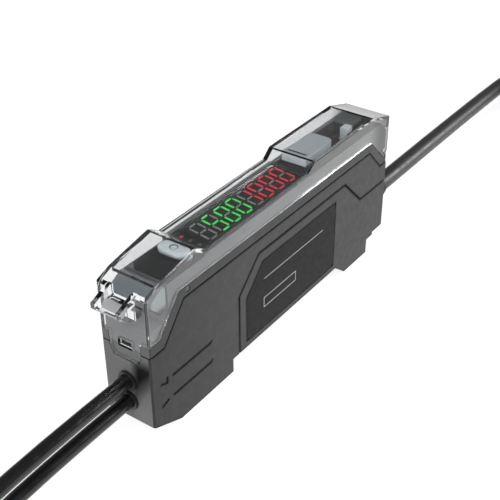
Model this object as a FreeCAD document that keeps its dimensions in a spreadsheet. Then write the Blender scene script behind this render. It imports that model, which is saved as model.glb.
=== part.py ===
import FreeCAD, Part
import math
import os
import Sketcher

# Fibre optic sensor amplifier: a slim case that sits on a 35 mm rail, with two fibres at one
# end, a cable at the other, and keys and a digital display under a clear hinged dust cover.
#
# Case frame, in which every piece is drawn: x from the fibre end face towards the cable end,
# y from the middle of the width towards the far side, z up from the face that seats on the rail.
# The whole set then moves together, so that the origin lies under the middle of the object at
# the underside of its feet. The leads are drawn straight in that moved frame.

doc = FreeCAD.newDocument("fibre_amplifier")
sheet = doc.addObject("Spreadsheet::Sheet", "Sizes")
nodes = {}


class Length:
    """A size in millimetres that remembers the sheet formula it came from."""

    def __init__(self, value, formula):
        self.value = float(value)
        self.formula = formula

    def __add__(self, other):
        other = length(other)
        return Length(self.value + other.value, f"({self.formula} + {other.formula})")

    def __radd__(self, other):
        return length(other) + self

    def __sub__(self, other):
        other = length(other)
        return Length(self.value - other.value, f"({self.formula} - {other.formula})")

    def __rsub__(self, other):
        return length(other) - self

    def __mul__(self, other):
        other = length(other)
        return Length(self.value * other.value, f"({self.formula} * {other.formula})")

    def __rmul__(self, other):
        return length(other) * self

    def __truediv__(self, other):
        other = length(other)
        return Length(self.value / other.value, f"({self.formula} / {other.formula})")

    def __neg__(self):
        return Length(-self.value, f"(0 - {self.formula})")


def length(number):
    """Return a plain number as a Length, and a Length as it is."""
    if isinstance(number, Length):
        return number
    return Length(number, f"({float(number)})")


def size(alias, value):
    """Write one driving dimension into the sheet and return it."""
    row = size.rows = getattr(size, "rows", 0) + 1
    sheet.set(f"A{row}", alias)
    sheet.set(f"B{row}", str(value))
    sheet.setAlias(f"B{row}", alias)
    return Length(value, f"Sizes.{alias}")


# Case
case_length = size("case_length", 76.3)
case_width = size("case_width", 10.2)
side_wall = size("side_wall", 1.6)
end_wall = size("end_wall", 1.2)
floor_wall = size("floor_wall", 1.0)
edge_round = size("edge_round", 0.3)
running_gap = size("running_gap", 0.15)

# Feet and rail seat
foot_depth = size("foot_depth", 2.9)
foot_start = size("foot_start", 7.0)
rail_seat_inset = size("rail_seat_inset", 54.3)
rail_seat_width = size("rail_seat_width", 35.3)
hook_lead_in = size("hook_lead_in", 3.7)
hook_length = size("hook_length", 9.0)
hook_slot_width = size("hook_slot_width", 0.35)
hook_slot_height = size("hook_slot_height", 2.6)
heel_length = size("heel_length", 2.4)
heel_step = size("heel_step", 0.3)
heel_rise = size("heel_rise", 1.0)

# Parting line between the lower and the upper case
parting_height = size("parting_height", 21.4)
front_parting_height = size("front_parting_height", 14.7)
front_step_length = size("front_step_length", 3.7)
front_slope_length = size("front_slope_length", 5.4)
back_parting_height = size("back_parting_height", 16.4)
back_step_length = size("back_step_length", 2.6)
back_slope_length = size("back_slope_length", 4.8)
groove_width = size("groove_width", 0.25)
groove_depth = size("groove_depth", 0.4)
tongue_depth = size("tongue_depth", 1.0)

# Side cover and label
plate_inset = size("plate_inset", 1.9)
plate_depth = size("plate_depth", 1.0)
plate_top = size("plate_top", 18.7)
plate_corner_height = size("plate_corner_height", 12.7)
plate_corner_length = size("plate_corner_length", 6.1)
plate_back_height = size("plate_back_height", 12.3)
plate_back_inset = size("plate_back_inset", 10.2)
plate_back_slope = size("plate_back_slope", 6.5)
label_inset = size("label_inset", 2.4)
label_length = size("label_length", 29.9)
label_bottom = size("label_bottom", 1.4)
label_height = size("label_height", 14.8)
label_corner = size("label_corner", 5.0)
label_corner_height = size("label_corner_height", 5.4)
label_round = size("label_round", 1.2)
label_thickness = size("label_thickness", 0.2)

# Fibre ports and clamp
port_low = size("port_low", 3.9)
port_pitch = size("port_pitch", 4.25)
fibre_diameter = size("fibre_diameter", 2.6)
fibre_depth = size("fibre_depth", 15.2)
bore_clearance = size("bore_clearance", 0.2)
bushing_flange = size("bushing_flange", 3.6)
bushing_flange_thickness = size("bushing_flange_thickness", 0.5)
bushing_wall = size("bushing_wall", 0.2)
gauge_length = size("gauge_length", 9.9)
gauge_hook = size("gauge_hook", 0.6)
gauge_width = size("gauge_width", 0.35)
break_start = size("break_start", 2.2)
break_length = size("break_length", 1.9)
break_rise = size("break_rise", 0.6)
holder_length = size("holder_length", 14.1)
holder_clearance = size("holder_clearance", 0.3)
holder_height = size("holder_height", 11.4)

# Lock lever and clamp slider
lever_pivot_x = size("lever_pivot_x", 10.2)
lever_pivot_drop = size("lever_pivot_drop", 3.6)
lever_hub_radius = size("lever_hub_radius", 1.4)
lever_pin_diameter = size("lever_pin_diameter", 1.2)
lever_clearance = size("lever_clearance", 0.3)
lever_arm_half_width = size("lever_arm_half_width", 2.7)
lever_tip_x = size("lever_tip_x", 1.7)
lever_top_drop = size("lever_top_drop", 0.6)
lever_knee = size("lever_knee", 2.5)
lever_nose_drop = size("lever_nose_drop", 1.4)
lever_nose_thickness = size("lever_nose_thickness", 0.8)
lever_plate_foot = size("lever_plate_foot", 1.1)
lever_knee_foot = size("lever_knee_foot", 1.3)
lever_arm_overlap = size("lever_arm_overlap", 1.4)
lever_arm_foot = size("lever_arm_foot", 0.8)
cam_offset = size("cam_offset", 2.0)
cam_radius = size("cam_radius", 0.6)
clamp_stroke = size("clamp_stroke", 0.385)
slider_thickness = size("slider_thickness", 1.8)
slider_half_width = size("slider_half_width", 2.1)

# Upper case
deck_height = size("deck_height", 26.2)
front_deck_drop = size("front_deck_drop", 0.3)
roof_thickness = size("roof_thickness", 1.0)
deck_edge_depth = size("deck_edge_depth", 0.6)
deck_start = size("deck_start", 5.7)
deck_step_x = size("deck_step_x", 15.4)
lever_well_depth = size("lever_well_depth", 7.0)
cavity_end_inset = size("cavity_end_inset", 3.1)

# Dust cover
cover_wall = size("cover_wall", 0.7)
cover_end_wall = size("cover_end_wall", 0.8)
cover_edge_drop = size("cover_edge_drop", 2.7)
cover_front_height = size("cover_front_height", 17.0)
cover_front_length = size("cover_front_length", 2.7)
cover_front_slope = size("cover_front_slope", 5.3)
cover_end_drop = size("cover_end_drop", 0.3)
notch_length = size("notch_length", 3.2)
notch_edge_rise = size("notch_edge_rise", 0.9)
crest_x = size("crest_x", 12.8)
crest_bevel = size("crest_bevel", 0.8)
crest_rise = size("crest_rise", 2.7)
recess_rise = size("recess_rise", 1.1)
recess_start = size("recess_start", 15.6)
recess_inset = size("recess_inset", 30.5)
rear_crest_inset = size("rear_crest_inset", 28.3)
rear_crest_rise = size("rear_crest_rise", 2.85)
rear_bend_inset = size("rear_bend_inset", 6.8)
cover_tail_rise = size("cover_tail_rise", 0.8)
hinge_height = size("hinge_height", 19.5)
hinge_inset = size("hinge_inset", 1.15)
ear_radius = size("ear_radius", 1.1)
ear_round = size("ear_round", 1.07)
ear_clear_drop = size("ear_clear_drop", 1.7)
hinge_pin_diameter = size("hinge_pin_diameter", 1.0)

# Beak and latch of the dust cover
beak_reach = size("beak_reach", 3.6)
beak_half_width = size("beak_half_width", 2.95)
beak_rib = size("beak_rib", 0.85)
beak_tip_drop = size("beak_tip_drop", 1.4)
beak_bar_drop = size("beak_bar_drop", 2.0)
beak_bar_width = size("beak_bar_width", 0.7)
beak_pad_drop = size("beak_pad_drop", 1.7)
beak_root_drop = size("beak_root_drop", 4.6)
beak_root_rise = size("beak_root_rise", 0.3)
beak_lip = size("beak_lip", 0.4)
beak_rib_rise = size("beak_rib_rise", 0.4)
latch_top_half_width = size("latch_top_half_width", 3.25)
latch_half_width = size("latch_half_width", 2.5)
latch_bottom = size("latch_bottom", 12.6)
latch_window_half_width = size("latch_window_half_width", 1.5)
latch_window_bottom = size("latch_window_bottom", 14.8)
latch_window_height = size("latch_window_height", 1.6)
catch_height = size("catch_height", 0.1)

# Display
window_start = size("window_start", 16.1)
window_inset = size("window_inset", 2.7)
window_thickness = size("window_thickness", 0.8)
window_setback = size("window_setback", 0.05)
digit_clearance = size("digit_clearance", 0.15)
legend_length = size("legend_length", 3.2)
digit_margin = size("digit_margin", 0.4)
indicator_inset = size("indicator_inset", 0.75)
indicator_length = size("indicator_length", 1.5)
indicator_width = size("indicator_width", 1.2)
indicator_pitch = size("indicator_pitch", 1.98)
board_thickness = size("board_thickness", 0.8)
board_drop = size("board_drop", 5.6)
board_clearance = size("board_clearance", 0.2)
board_start = size("board_start", 12.1)
board_end_inset = size("board_end_inset", 3.5)

# Keys
key_gap = size("key_gap", 0.2)
key_travel = size("key_travel", 0.4)
set_button_x = size("set_button_x", 13.3)
set_button_length = size("set_button_length", 3.2)
set_button_width = size("set_button_width", 6.0)
set_button_rise = size("set_button_rise", 0.6)
key_round = size("key_round", 0.4)
skirt_height = size("skirt_height", 0.3)
dimple_diameter = size("dimple_diameter", 1.4)
rocker_inset = size("rocker_inset", 26.9)
rocker_length = size("rocker_length", 9.6)
rocker_near = size("rocker_near", -2.3)
rocker_far = size("rocker_far", 3.1)
rocker_rise = size("rocker_rise", 1.6)
rocker_pivot_drop = size("rocker_pivot_drop", 1.6)
rocker_pivot_radius = size("rocker_pivot_radius", 0.5)
rocker_foot_drop = size("rocker_foot_drop", 0.6)
rocker_dip = size("rocker_dip", 0.3)
rocker_slot_inset = size("rocker_slot_inset", 0.8)
rocker_slot_width = size("rocker_slot_width", 0.25)
rocker_slot_depth = size("rocker_slot_depth", 0.5)
rocker_slot_margin = size("rocker_slot_margin", 0.7)
rocker_switch_side = size("rocker_switch_side", 2.4)
rocker_switch_offset = size("rocker_switch_offset", 3.5)
selector_inset = size("selector_inset", 10.7)
selector_length = size("selector_length", 2.0)
selector_width = size("selector_width", 1.6)
selector_y = size("selector_y", -1.2)
selector_rise = size("selector_rise", 1.1)
selector_travel = size("selector_travel", 2.5)
mode_button_inset = size("mode_button_inset", 8.5)
mode_button_length = size("mode_button_length", 3.8)
mode_button_near = size("mode_button_near", -1.3)
mode_button_far = size("mode_button_far", 3.1)
mode_button_rise = size("mode_button_rise", 0.8)
switch_height = size("switch_height", 2.0)

# Cable entry
cable_diameter = size("cable_diameter", 3.8)
cable_height = size("cable_height", 5.7)
boot_length = size("boot_length", 7.0)
boot_root_diameter = size("boot_root_diameter", 5.6)
boot_tip_diameter = size("boot_tip_diameter", 4.8)
boot_flange_clearance = size("boot_flange_clearance", 0.3)
boot_flange_thickness = size("boot_flange_thickness", 0.8)
boot_groove = size("boot_groove", 0.4)
boot_clearance = size("boot_clearance", 0.1)

# Optics, boards and their parts
led_diameter = size("led_diameter", 3.0)
lens_diameter = size("lens_diameter", 2.1)
leg_diameter = size("leg_diameter", 0.45)
leg_pitch = size("leg_pitch", 1.5)
sheet_metal = size("sheet_metal", 0.3)
chip_clearance = size("chip_clearance", 1.0)
chip_side = size("chip_side", 6.0)
chip_thickness = size("chip_thickness", 1.2)
plug_inset = size("plug_inset", 30.3)
plug_length = size("plug_length", 9.0)
plug_bottom = size("plug_bottom", 6.6)
plug_height = size("plug_height", 3.6)
terminal_inset = size("terminal_inset", 14.3)
terminal_length = size("terminal_length", 5.5)
switch_side = size("switch_side", 3.0)
plunger_rise = size("plunger_rise", 0.5)

# Far ends of the leads
head_diameter = size("head_diameter", 4.0)
head_length = size("head_length", 12.0)
head_sleeve_diameter = size("head_sleeve_diameter", 3.4)
head_sleeve_length = size("head_sleeve_length", 4.0)
nut_across_flats = size("nut_across_flats", 7.0)
nut_thickness = size("nut_thickness", 2.0)

doc.recompute()

# Places worked out from the sizes above
half_width = case_width / 2
cavity_half = half_width - side_wall
frame_x = -(case_length - beak_reach) / 2
frame_z = foot_depth
rail_seat_start = case_length - rail_seat_inset
rail_seat_end = rail_seat_start + rail_seat_width
hook_start = rail_seat_end + hook_lead_in
hook_end = hook_start + hook_length
heel_end = hook_end + heel_length
front_slope_end = front_step_length + front_slope_length
back_step_start = case_length - back_step_length
back_slope_start = back_step_start - back_slope_length
plate_start = rail_seat_start + plate_inset
label_start = plate_start + label_inset
port_high = port_low + port_pitch
fibre_radius = fibre_diameter / 2
front_deck_height = deck_height - front_deck_drop
lever_well_floor = deck_height - lever_well_depth
lever_pivot_z = deck_height - lever_pivot_drop
lever_top = deck_height - lever_top_drop
hinge_x = case_length - hinge_inset
ear_clear_height = deck_height - ear_clear_drop
cover_edge_height = deck_height - cover_edge_drop
cover_end_height = deck_height - cover_end_drop
cover_tail_height = deck_height + cover_tail_rise
notch_edge_height = deck_height + notch_edge_rise
crest_height = deck_height + crest_rise
recess_height = deck_height + recess_rise
recess_end = case_length - recess_inset
rear_crest_x = case_length - rear_crest_inset
rear_crest_height = deck_height + rear_crest_rise
rear_bend_x = case_length - rear_bend_inset
beak_tip_height = deck_height - beak_tip_drop
beak_bar_height = deck_height - beak_bar_drop
beak_pad_height = deck_height - beak_pad_drop
beak_root_height = deck_height - beak_root_drop
tower_half = half_width - cover_wall - running_gap
cover_inner_half = half_width - cover_wall
cover_front_slope_end = cover_front_length + cover_front_slope
optics_face = end_wall + holder_length + running_gap * 2
shield_start = optics_face + led_diameter * 2
shield_end = shield_start + led_diameter * 3
chip_x = shield_end + chip_clearance
board_half_width = cavity_half - board_clearance
boot_flange_diameter = (cavity_half - boot_flange_clearance) * 2
board_level = deck_height - board_drop
board_top = board_level + board_thickness
set_button_top = deck_height + set_button_rise
rocker_start = case_length - rocker_inset
rocker_top = deck_height + rocker_rise
rocker_pivot_z = deck_height - rocker_pivot_drop
selector_x = case_length - selector_inset
selector_top = deck_height + selector_rise
mode_button_start = case_length - mode_button_inset
mode_button_top = deck_height + mode_button_rise
window_length = rocker_start - window_start - window_inset
digit_block_start = window_start + legend_length
digit_block_length = (window_length - legend_length - digit_margin) / 2
plug_x = case_length - plug_inset
terminal_x = case_length - terminal_inset
roof_underside = deck_height - roof_thickness
window_foot = deck_height - window_thickness - window_setback
digit_top = window_foot - digit_clearance
cavity_end = case_length - cavity_end_inset
NEAR, FAR = -1, 1

# Shares: how far the corners of a raised outline move sideways, and the thick part of a boot ring
BEND_SHARE = 0.4
RING_SHARE = 0.6
BOOT_RINGS = 3

# Routes of the leads in the frame of the whole, in millimetres: where each hank's long turns
# begin and end along x and their middle line, and how many columns and layers it has
FIBRE_HANK = (-83.0, -125.0, -13.0)
FIBRE_TURNS = (3, 2)
CABLE_HANK = (143.0, 200.0, -12.0)
CABLE_TURNS = (2, 5)
HANK_FOLD = 3.0
RUN_SHARE = 0.45
VOLUME_TOLERANCE = 0.01
CORE_DIAMETER = 1.1
CORE_REACH = (19.0, 2.8, 1.3)
NUT_PLACE = 0.5
NUT_CLEARANCE = 0.02


def point(u, v):
    """A sketch point from two sizes."""
    return FreeCAD.Vector(length(u).value, length(v).value, 0)


def pin(drawing, geometry, position, u, v):
    """Hold one point of a sketch at u, v from its origin, each bound to the sheet."""
    for kind, distance in (("DistanceX", length(u)), ("DistanceY", length(v))):
        rule = Sketcher.Constraint(kind, -1, 1, geometry, position, distance.value)
        index = drawing.addConstraint(rule)
        drawing.setExpression(f"Constraints[{index}]", distance.formula)


def polygon(drawing, corners):
    """Draw a closed outline of straight lines through the corners."""
    first = drawing.GeometryCount
    count = len(corners)
    for index, corner in enumerate(corners):
        following = corners[(index + 1) % count]
        drawing.addGeometry(Part.LineSegment(point(*corner), point(*following)), False)
    for index in range(count):
        following = first + (index + 1) % count
        drawing.addConstraint(Sketcher.Constraint("Coincident", first + index, 2, following, 1))
    for index, (u, v) in enumerate(corners):
        pin(drawing, first + index, 1, u, v)


def rectangle(drawing, u0, u1, v0, v1):
    """Draw a rectangle between two corners."""
    polygon(drawing, [(u0, v0), (u1, v0), (u1, v1), (u0, v1)])


def circle(drawing, u, v, diameter):
    """Draw a circle."""
    diameter = length(diameter)
    arc = Part.Circle(point(u, v), FreeCAD.Vector(0, 0, 1), diameter.value / 2)
    index = drawing.addGeometry(arc, False)
    pin(drawing, index, 3, u, v)
    rule = drawing.addConstraint(Sketcher.Constraint("Diameter", index, diameter.value))
    drawing.setExpression(f"Constraints[{rule}]", diameter.formula)


def body(label):
    """Start a piece of the case frame and give it its place in the whole."""
    item = doc.addObject("PartDesign::Body", label)
    item.Label = label
    seat(item)
    nodes[label] = item
    return item


def seat(item):
    """Move a piece drawn in the case frame to the frame of the whole."""
    item.setExpression("Placement.Base.x", frame_x.formula)
    item.setExpression("Placement.Base.z", frame_z.formula)


def sketch(item, role, offset=0):
    """Start a sketch on a plane of the body's own origin, moved along the plane's normal."""
    drawing = item.newObject("Sketcher::SketchObject", "outline")
    plane = next(f for f in item.Origin.OriginFeatures if f.Role == role)
    drawing.AttachmentSupport = (plane, "")
    drawing.MapMode = "FlatFace"
    drawing.setExpression("AttachmentOffset.Base.z", length(offset).formula)
    return drawing


def side_view(item, y=0):
    """A sketch seen from the near side: x to the right, z up, pads grow towards the near side."""
    return sketch(item, "XZ_Plane", -length(y))


def end_view(item, x=0):
    """A sketch across the case: y to the right, z up, pads grow towards the cable end."""
    return sketch(item, "YZ_Plane", x)


def plan_view(item, z=0):
    """A sketch seen from above, pads grow upwards."""
    return sketch(item, "XY_Plane", z)


def made(item, feature):
    """Recompute, and stop with the place of a feature that could not be made."""
    doc.recompute()
    if "Invalid" in feature.State or "Error" in feature.State:
        raise ValueError(f"{feature.Name} of {item.Label} could not be made: {feature.State}")
    return feature


def grow(item, drawing, amount, both=False, reverse=False):
    """Pad a sketch by an amount, or by half of it to each side, and make sure that it adds."""
    before = item.Shape.Volume if item.Tip else 0
    feature = item.newObject("PartDesign::Pad", "pad")
    feature.Profile = drawing
    feature.SideType = "Symmetric" if both else "One side"
    feature.setExpression("Length", length(amount).formula)
    feature.Reversed = reverse
    drawing.Visibility = False
    made(item, feature)
    if item.Shape.Volume <= before:
        raise ValueError(f"a pad of {item.Label} adds nothing")
    return feature


def cut(item, drawing, amount, both=False, reverse=False):
    """Cut a sketch out of the body, and make sure that it removed something."""
    before = item.Shape.Volume
    feature = item.newObject("PartDesign::Pocket", "pocket")
    feature.Profile = drawing
    feature.SideType = "Symmetric" if both else "One side"
    feature.setExpression("Length", length(amount).formula)
    feature.Reversed = reverse
    drawing.Visibility = False
    made(item, feature)
    if item.Shape.Volume >= before:
        raise ValueError(f"a pocket of {item.Label} removes nothing")
    return feature


def edges_at(item, axis, places):
    """Names of the straight edges along an axis that pass through any of the places."""
    across = {"x": (1, 2), "y": (0, 2), "z": (0, 1)}[axis]
    wanted = [tuple(length(value).value for value in place) for place in places]
    names = []
    for number, edge in enumerate(item.Tip.Shape.Edges, 1):
        ends = [tuple(vertex.Point) for vertex in edge.Vertexes]
        if len(ends) != 2:
            continue
        for place in wanted:
            if all(abs(end[across[k]] - place[k]) < 1e-3 for end in ends for k in (0, 1)):
                names.append(f"Edge{number}")
    return names


def soften(item, kind, amount, names):
    """Fillet or chamfer the named edges of the last feature."""
    base = item.Tip
    feature = item.newObject(f"PartDesign::{kind}", kind.lower())
    feature.Base = (base, names)
    feature.setExpression("Radius" if kind == "Fillet" else "Size", length(amount).formula)
    return made(item, feature)


def primitive(kind, label, at, turn=None, **sizes):
    """Make one solid primitive whose sizes and place are bound to the sheet."""
    item = doc.addObject(f"Part::{kind}", label)
    for name, value in sizes.items():
        item.setExpression(name, length(value).formula)
    if turn:
        item.Placement = FreeCAD.Placement(FreeCAD.Vector(), FreeCAD.Rotation(*turn))
    for name, value in zip("xyz", at):
        item.setExpression(f"Placement.Base.{name}", length(value).formula)
    return item


ALONG_X = (FreeCAD.Vector(0, 1, 0), 90)
ALONG_Y = (FreeCAD.Vector(1, 0, 0), -90)


def box(label, x, y, z):
    """A block between two corners, each given as a pair of sizes per axis."""
    (x0, x1), (y0, y1), (z0, z1) = [(length(a), length(b)) for a, b in (x, y, z)]
    return primitive("Box", label, (x0, y0, z0), Length=x1 - x0, Width=y1 - y0, Height=z1 - z0)


def rod(label, diameter, start, reach, turn=None):
    """A round bar that starts at a point, standing or turned along an axis."""
    return primitive("Cylinder", label, start, turn, Radius=length(diameter) / 2, Height=reach)


def joined(label, pieces, kind="MultiFuse"):
    """Fuse pieces into one solid, or keep them as a group of separate solids."""
    item = doc.addObject(f"Part::{kind}", label)
    if kind == "MultiFuse":
        item.Shapes = pieces
    else:
        item.Links = pieces
    return item


def less(label, base, tool):
    """Cut a tool out of a base."""
    item = doc.addObject("Part::Cut", label)
    item.Base = base
    item.Tool = tool
    return item


def keep(label, item):
    """Name a finished piece and move it to the frame of the whole."""
    item.Label = label
    if item.TypeId in ("Part::Box", "Part::Cylinder"):
        places = dict(item.ExpressionEngine)
        for name, shift in (("x", frame_x), ("z", frame_z)):
            path = next(p for p in places if p.endswith(f"Placement.Base.{name}"))
            item.setExpression(f"Placement.Base.{name}", f"{places[path]} + {shift.formula}")
    else:
        seat(item)
    nodes[label] = item
    return item


def parting_line(rise):
    """The parting line from the fibre end to the cable end, raised by a groove."""
    shift = rise * BEND_SHARE
    return [
        (0, front_parting_height + rise),
        (front_step_length - shift, front_parting_height + rise),
        (front_slope_end - shift, parting_height + rise),
        (back_slope_start + shift, parting_height + rise),
        (back_step_start + shift, back_parting_height + rise),
        (case_length, back_parting_height + rise),
    ]


def plate_outline(clearance):
    """Outline of the side cover, or of its seat when the clearance is nothing."""
    slope_end = case_length - plate_back_inset
    return [
        (plate_start + clearance, 0),
        (rail_seat_end, 0),
        (hook_start, -foot_depth),
        (hook_end, -foot_depth),
        (hook_end, heel_step),
        (heel_end, heel_step),
        (heel_end, heel_rise),
        (case_length, heel_rise),
        (case_length, plate_back_height - clearance),
        (slope_end - clearance * BEND_SHARE, plate_back_height - clearance),
        (slope_end - plate_back_slope - clearance * BEND_SHARE, plate_top - clearance),
        (plate_start + plate_corner_length + clearance * BEND_SHARE, plate_top - clearance),
        (plate_start + clearance, plate_corner_height - clearance * BEND_SHARE),
    ]


def latch_outline(clearance):
    """Outline of the latch tongue in the end view, or of its seat with a clearance."""
    top = cover_front_height + clearance
    low = latch_bottom - clearance
    wide = latch_top_half_width + clearance
    narrow = latch_half_width + clearance
    knee = (top + low * 2) / 3
    return [(-wide, top), (-wide, knee), (-narrow, low), (narrow, low), (wide, knee), (wide, top)]


def lower_case():
    """Case body: rail feet, end walls with the fibre ports and the cable hole, label side seat."""
    item = body("lower_case")
    profile = side_view(item)
    polygon(profile, [
        (0, 0),
        (foot_start, -foot_depth),
        (rail_seat_start, -foot_depth),
        (rail_seat_start, 0),
        (rail_seat_end, 0),
        (hook_start, -foot_depth),
        (hook_end, -foot_depth),
        (hook_end, heel_step),
        (heel_end, heel_step),
        (heel_end, heel_rise),
        (case_length, heel_rise),
    ] + parting_line(length(0))[::-1])
    grow(item, profile, case_width, both=True)

    # Tongue that carries the upper case and leaves the shadow groove outside it
    tongue = side_view(item)
    line = parting_line(groove_width)
    inset = groove_depth
    under = tongue_depth
    polygon(tongue, [
        (inset, line[0][1]), *line[1:5], (case_length - inset, line[5][1]),
        (case_length - inset, line[5][1] - under), (line[4][0] - under, line[4][1] - under),
        (line[3][0] - under, line[3][1] - under), (line[2][0] + under, line[2][1] - under),
        (line[1][0] + under, line[1][1] - under), (inset, line[0][1] - under),
    ])
    grow(item, tongue, case_width - groove_depth * 2, both=True)

    # Inside: closed over the fibre ports and open at the top behind them
    hollow = side_view(item)
    mouth = lever_pivot_x - cam_offset - slider_thickness
    above = parting_height + tongue_depth
    ceiling = front_parting_height - floor_wall
    polygon(hollow, [
        (end_wall, floor_wall),
        (case_length - end_wall, floor_wall),
        (case_length - end_wall, back_parting_height - floor_wall),
        (cavity_end, back_parting_height - floor_wall),
        (cavity_end, above),
        (mouth, above),
        (mouth, ceiling),
        (end_wall, ceiling),
    ])
    cut(item, hollow, cavity_half * 2, both=True)

    # Seat of the side cover on the near side, and the opening for the link plug behind it
    seat_outline = side_view(item, -half_width + plate_depth)
    polygon(seat_outline, plate_outline(length(0)))
    cut(item, seat_outline, plate_depth, reverse=True)

    plug_opening = side_view(item, -half_width + plate_depth)
    rectangle(plug_opening, plug_x - running_gap, plug_x + plug_length + running_gap,
              plug_bottom - running_gap, plug_bottom + plug_height + running_gap)
    cut(item, plug_opening, side_wall)

    ports = end_view(item)
    hole = fibre_diameter + bushing_wall * 2 + bore_clearance * 2
    circle(ports, 0, port_low, hole)
    circle(ports, 0, port_high, hole)
    cut(item, ports, end_wall * 2, both=True)

    outlet = end_view(item, case_length)
    circle(outlet, 0, cable_height, boot_root_diameter + boot_clearance * 2)
    cut(item, outlet, end_wall * 2, both=True)

    recess = end_view(item)
    polygon(recess, latch_outline(running_gap))
    cut(item, recess, (cover_end_wall + running_gap) * 2, both=True)

    slot = side_view(item)
    middle = hook_start + hook_slot_width
    rectangle(slot, middle, middle + hook_slot_width, -foot_depth, -foot_depth + hook_slot_height)
    cut(item, slot, case_width, both=True)

    gauge_marks(item)
    corners = [(0, -half_width), (0, half_width), (case_length, half_width)]
    soften(item, "Chamfer", edge_round, edges_at(item, "z", corners))
    return item


def gauge_marks(item):
    """Engraved lines on the near side that show how deep each fibre goes in."""
    depth = label_thickness
    width = gauge_width
    stroke_end = break_start + break_length
    for height in (port_low, port_high):
        marks = side_view(item, -half_width + depth)
        start = fibre_depth - gauge_length
        end = fibre_depth + width
        hook = gauge_hook
        polygon(marks, [
            (start, height - width), (end, height - width), (end + hook, height - width + hook),
            (end + hook - width, height - width + hook), (end - width / 2, height),
            (start, height),
        ])
        cut(item, marks, depth, reverse=True)

        # Short stroke before the line, where the drawn fibre is broken off
        stroke = side_view(item, -half_width + depth)
        way = 1 if height is port_low else -1
        middle = height - width * 1.5
        first = middle - break_rise / 2 * way
        last = middle + break_rise / 2 * way
        polygon(stroke, [
            (break_start, first - width / 2), (stroke_end, last - width / 2),
            (stroke_end, last + width / 2), (break_start, first + width / 2),
        ])
        cut(item, stroke, depth, reverse=True)

    # Barb at the end of the upper stroke
    barb = side_view(item, -half_width + depth)
    foot = port_high - width * 1.5 - break_rise / 2
    rectangle(barb, stroke_end - width, stroke_end, foot, foot + break_rise * 2)
    cut(item, barb, depth, reverse=True)


def side_cover():
    """Snap-on plate of the near side, with a shallow seat for the label."""
    item = body("side_cover")
    outline = side_view(item, -half_width + plate_depth)
    polygon(outline, plate_outline(groove_width))
    grow(item, outline, plate_depth)
    label = side_view(item, -half_width + label_thickness)
    polygon(label, label_outline(running_gap))
    cut(item, label, label_thickness, reverse=True)


def label_outline(clearance):
    """Outline of the label with its cut corner, or of its seat with a clearance."""
    left = label_start - clearance
    right = label_start + label_length + clearance
    low = label_bottom - clearance
    top = label_bottom + label_height + clearance
    return [
        (left, low), (right, low), (right, top), (left + label_corner, top),
        (left, top - label_corner_height),
    ]


def label_plate():
    """Blank label."""
    item = body("label_plate")
    outline = side_view(item, -half_width + label_thickness)
    polygon(outline, label_outline(length(0)))
    grow(item, outline, label_thickness)
    corners = label_outline(length(0))[:3]
    soften(item, "Fillet", label_round, edges_at(item, "y", corners))


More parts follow.
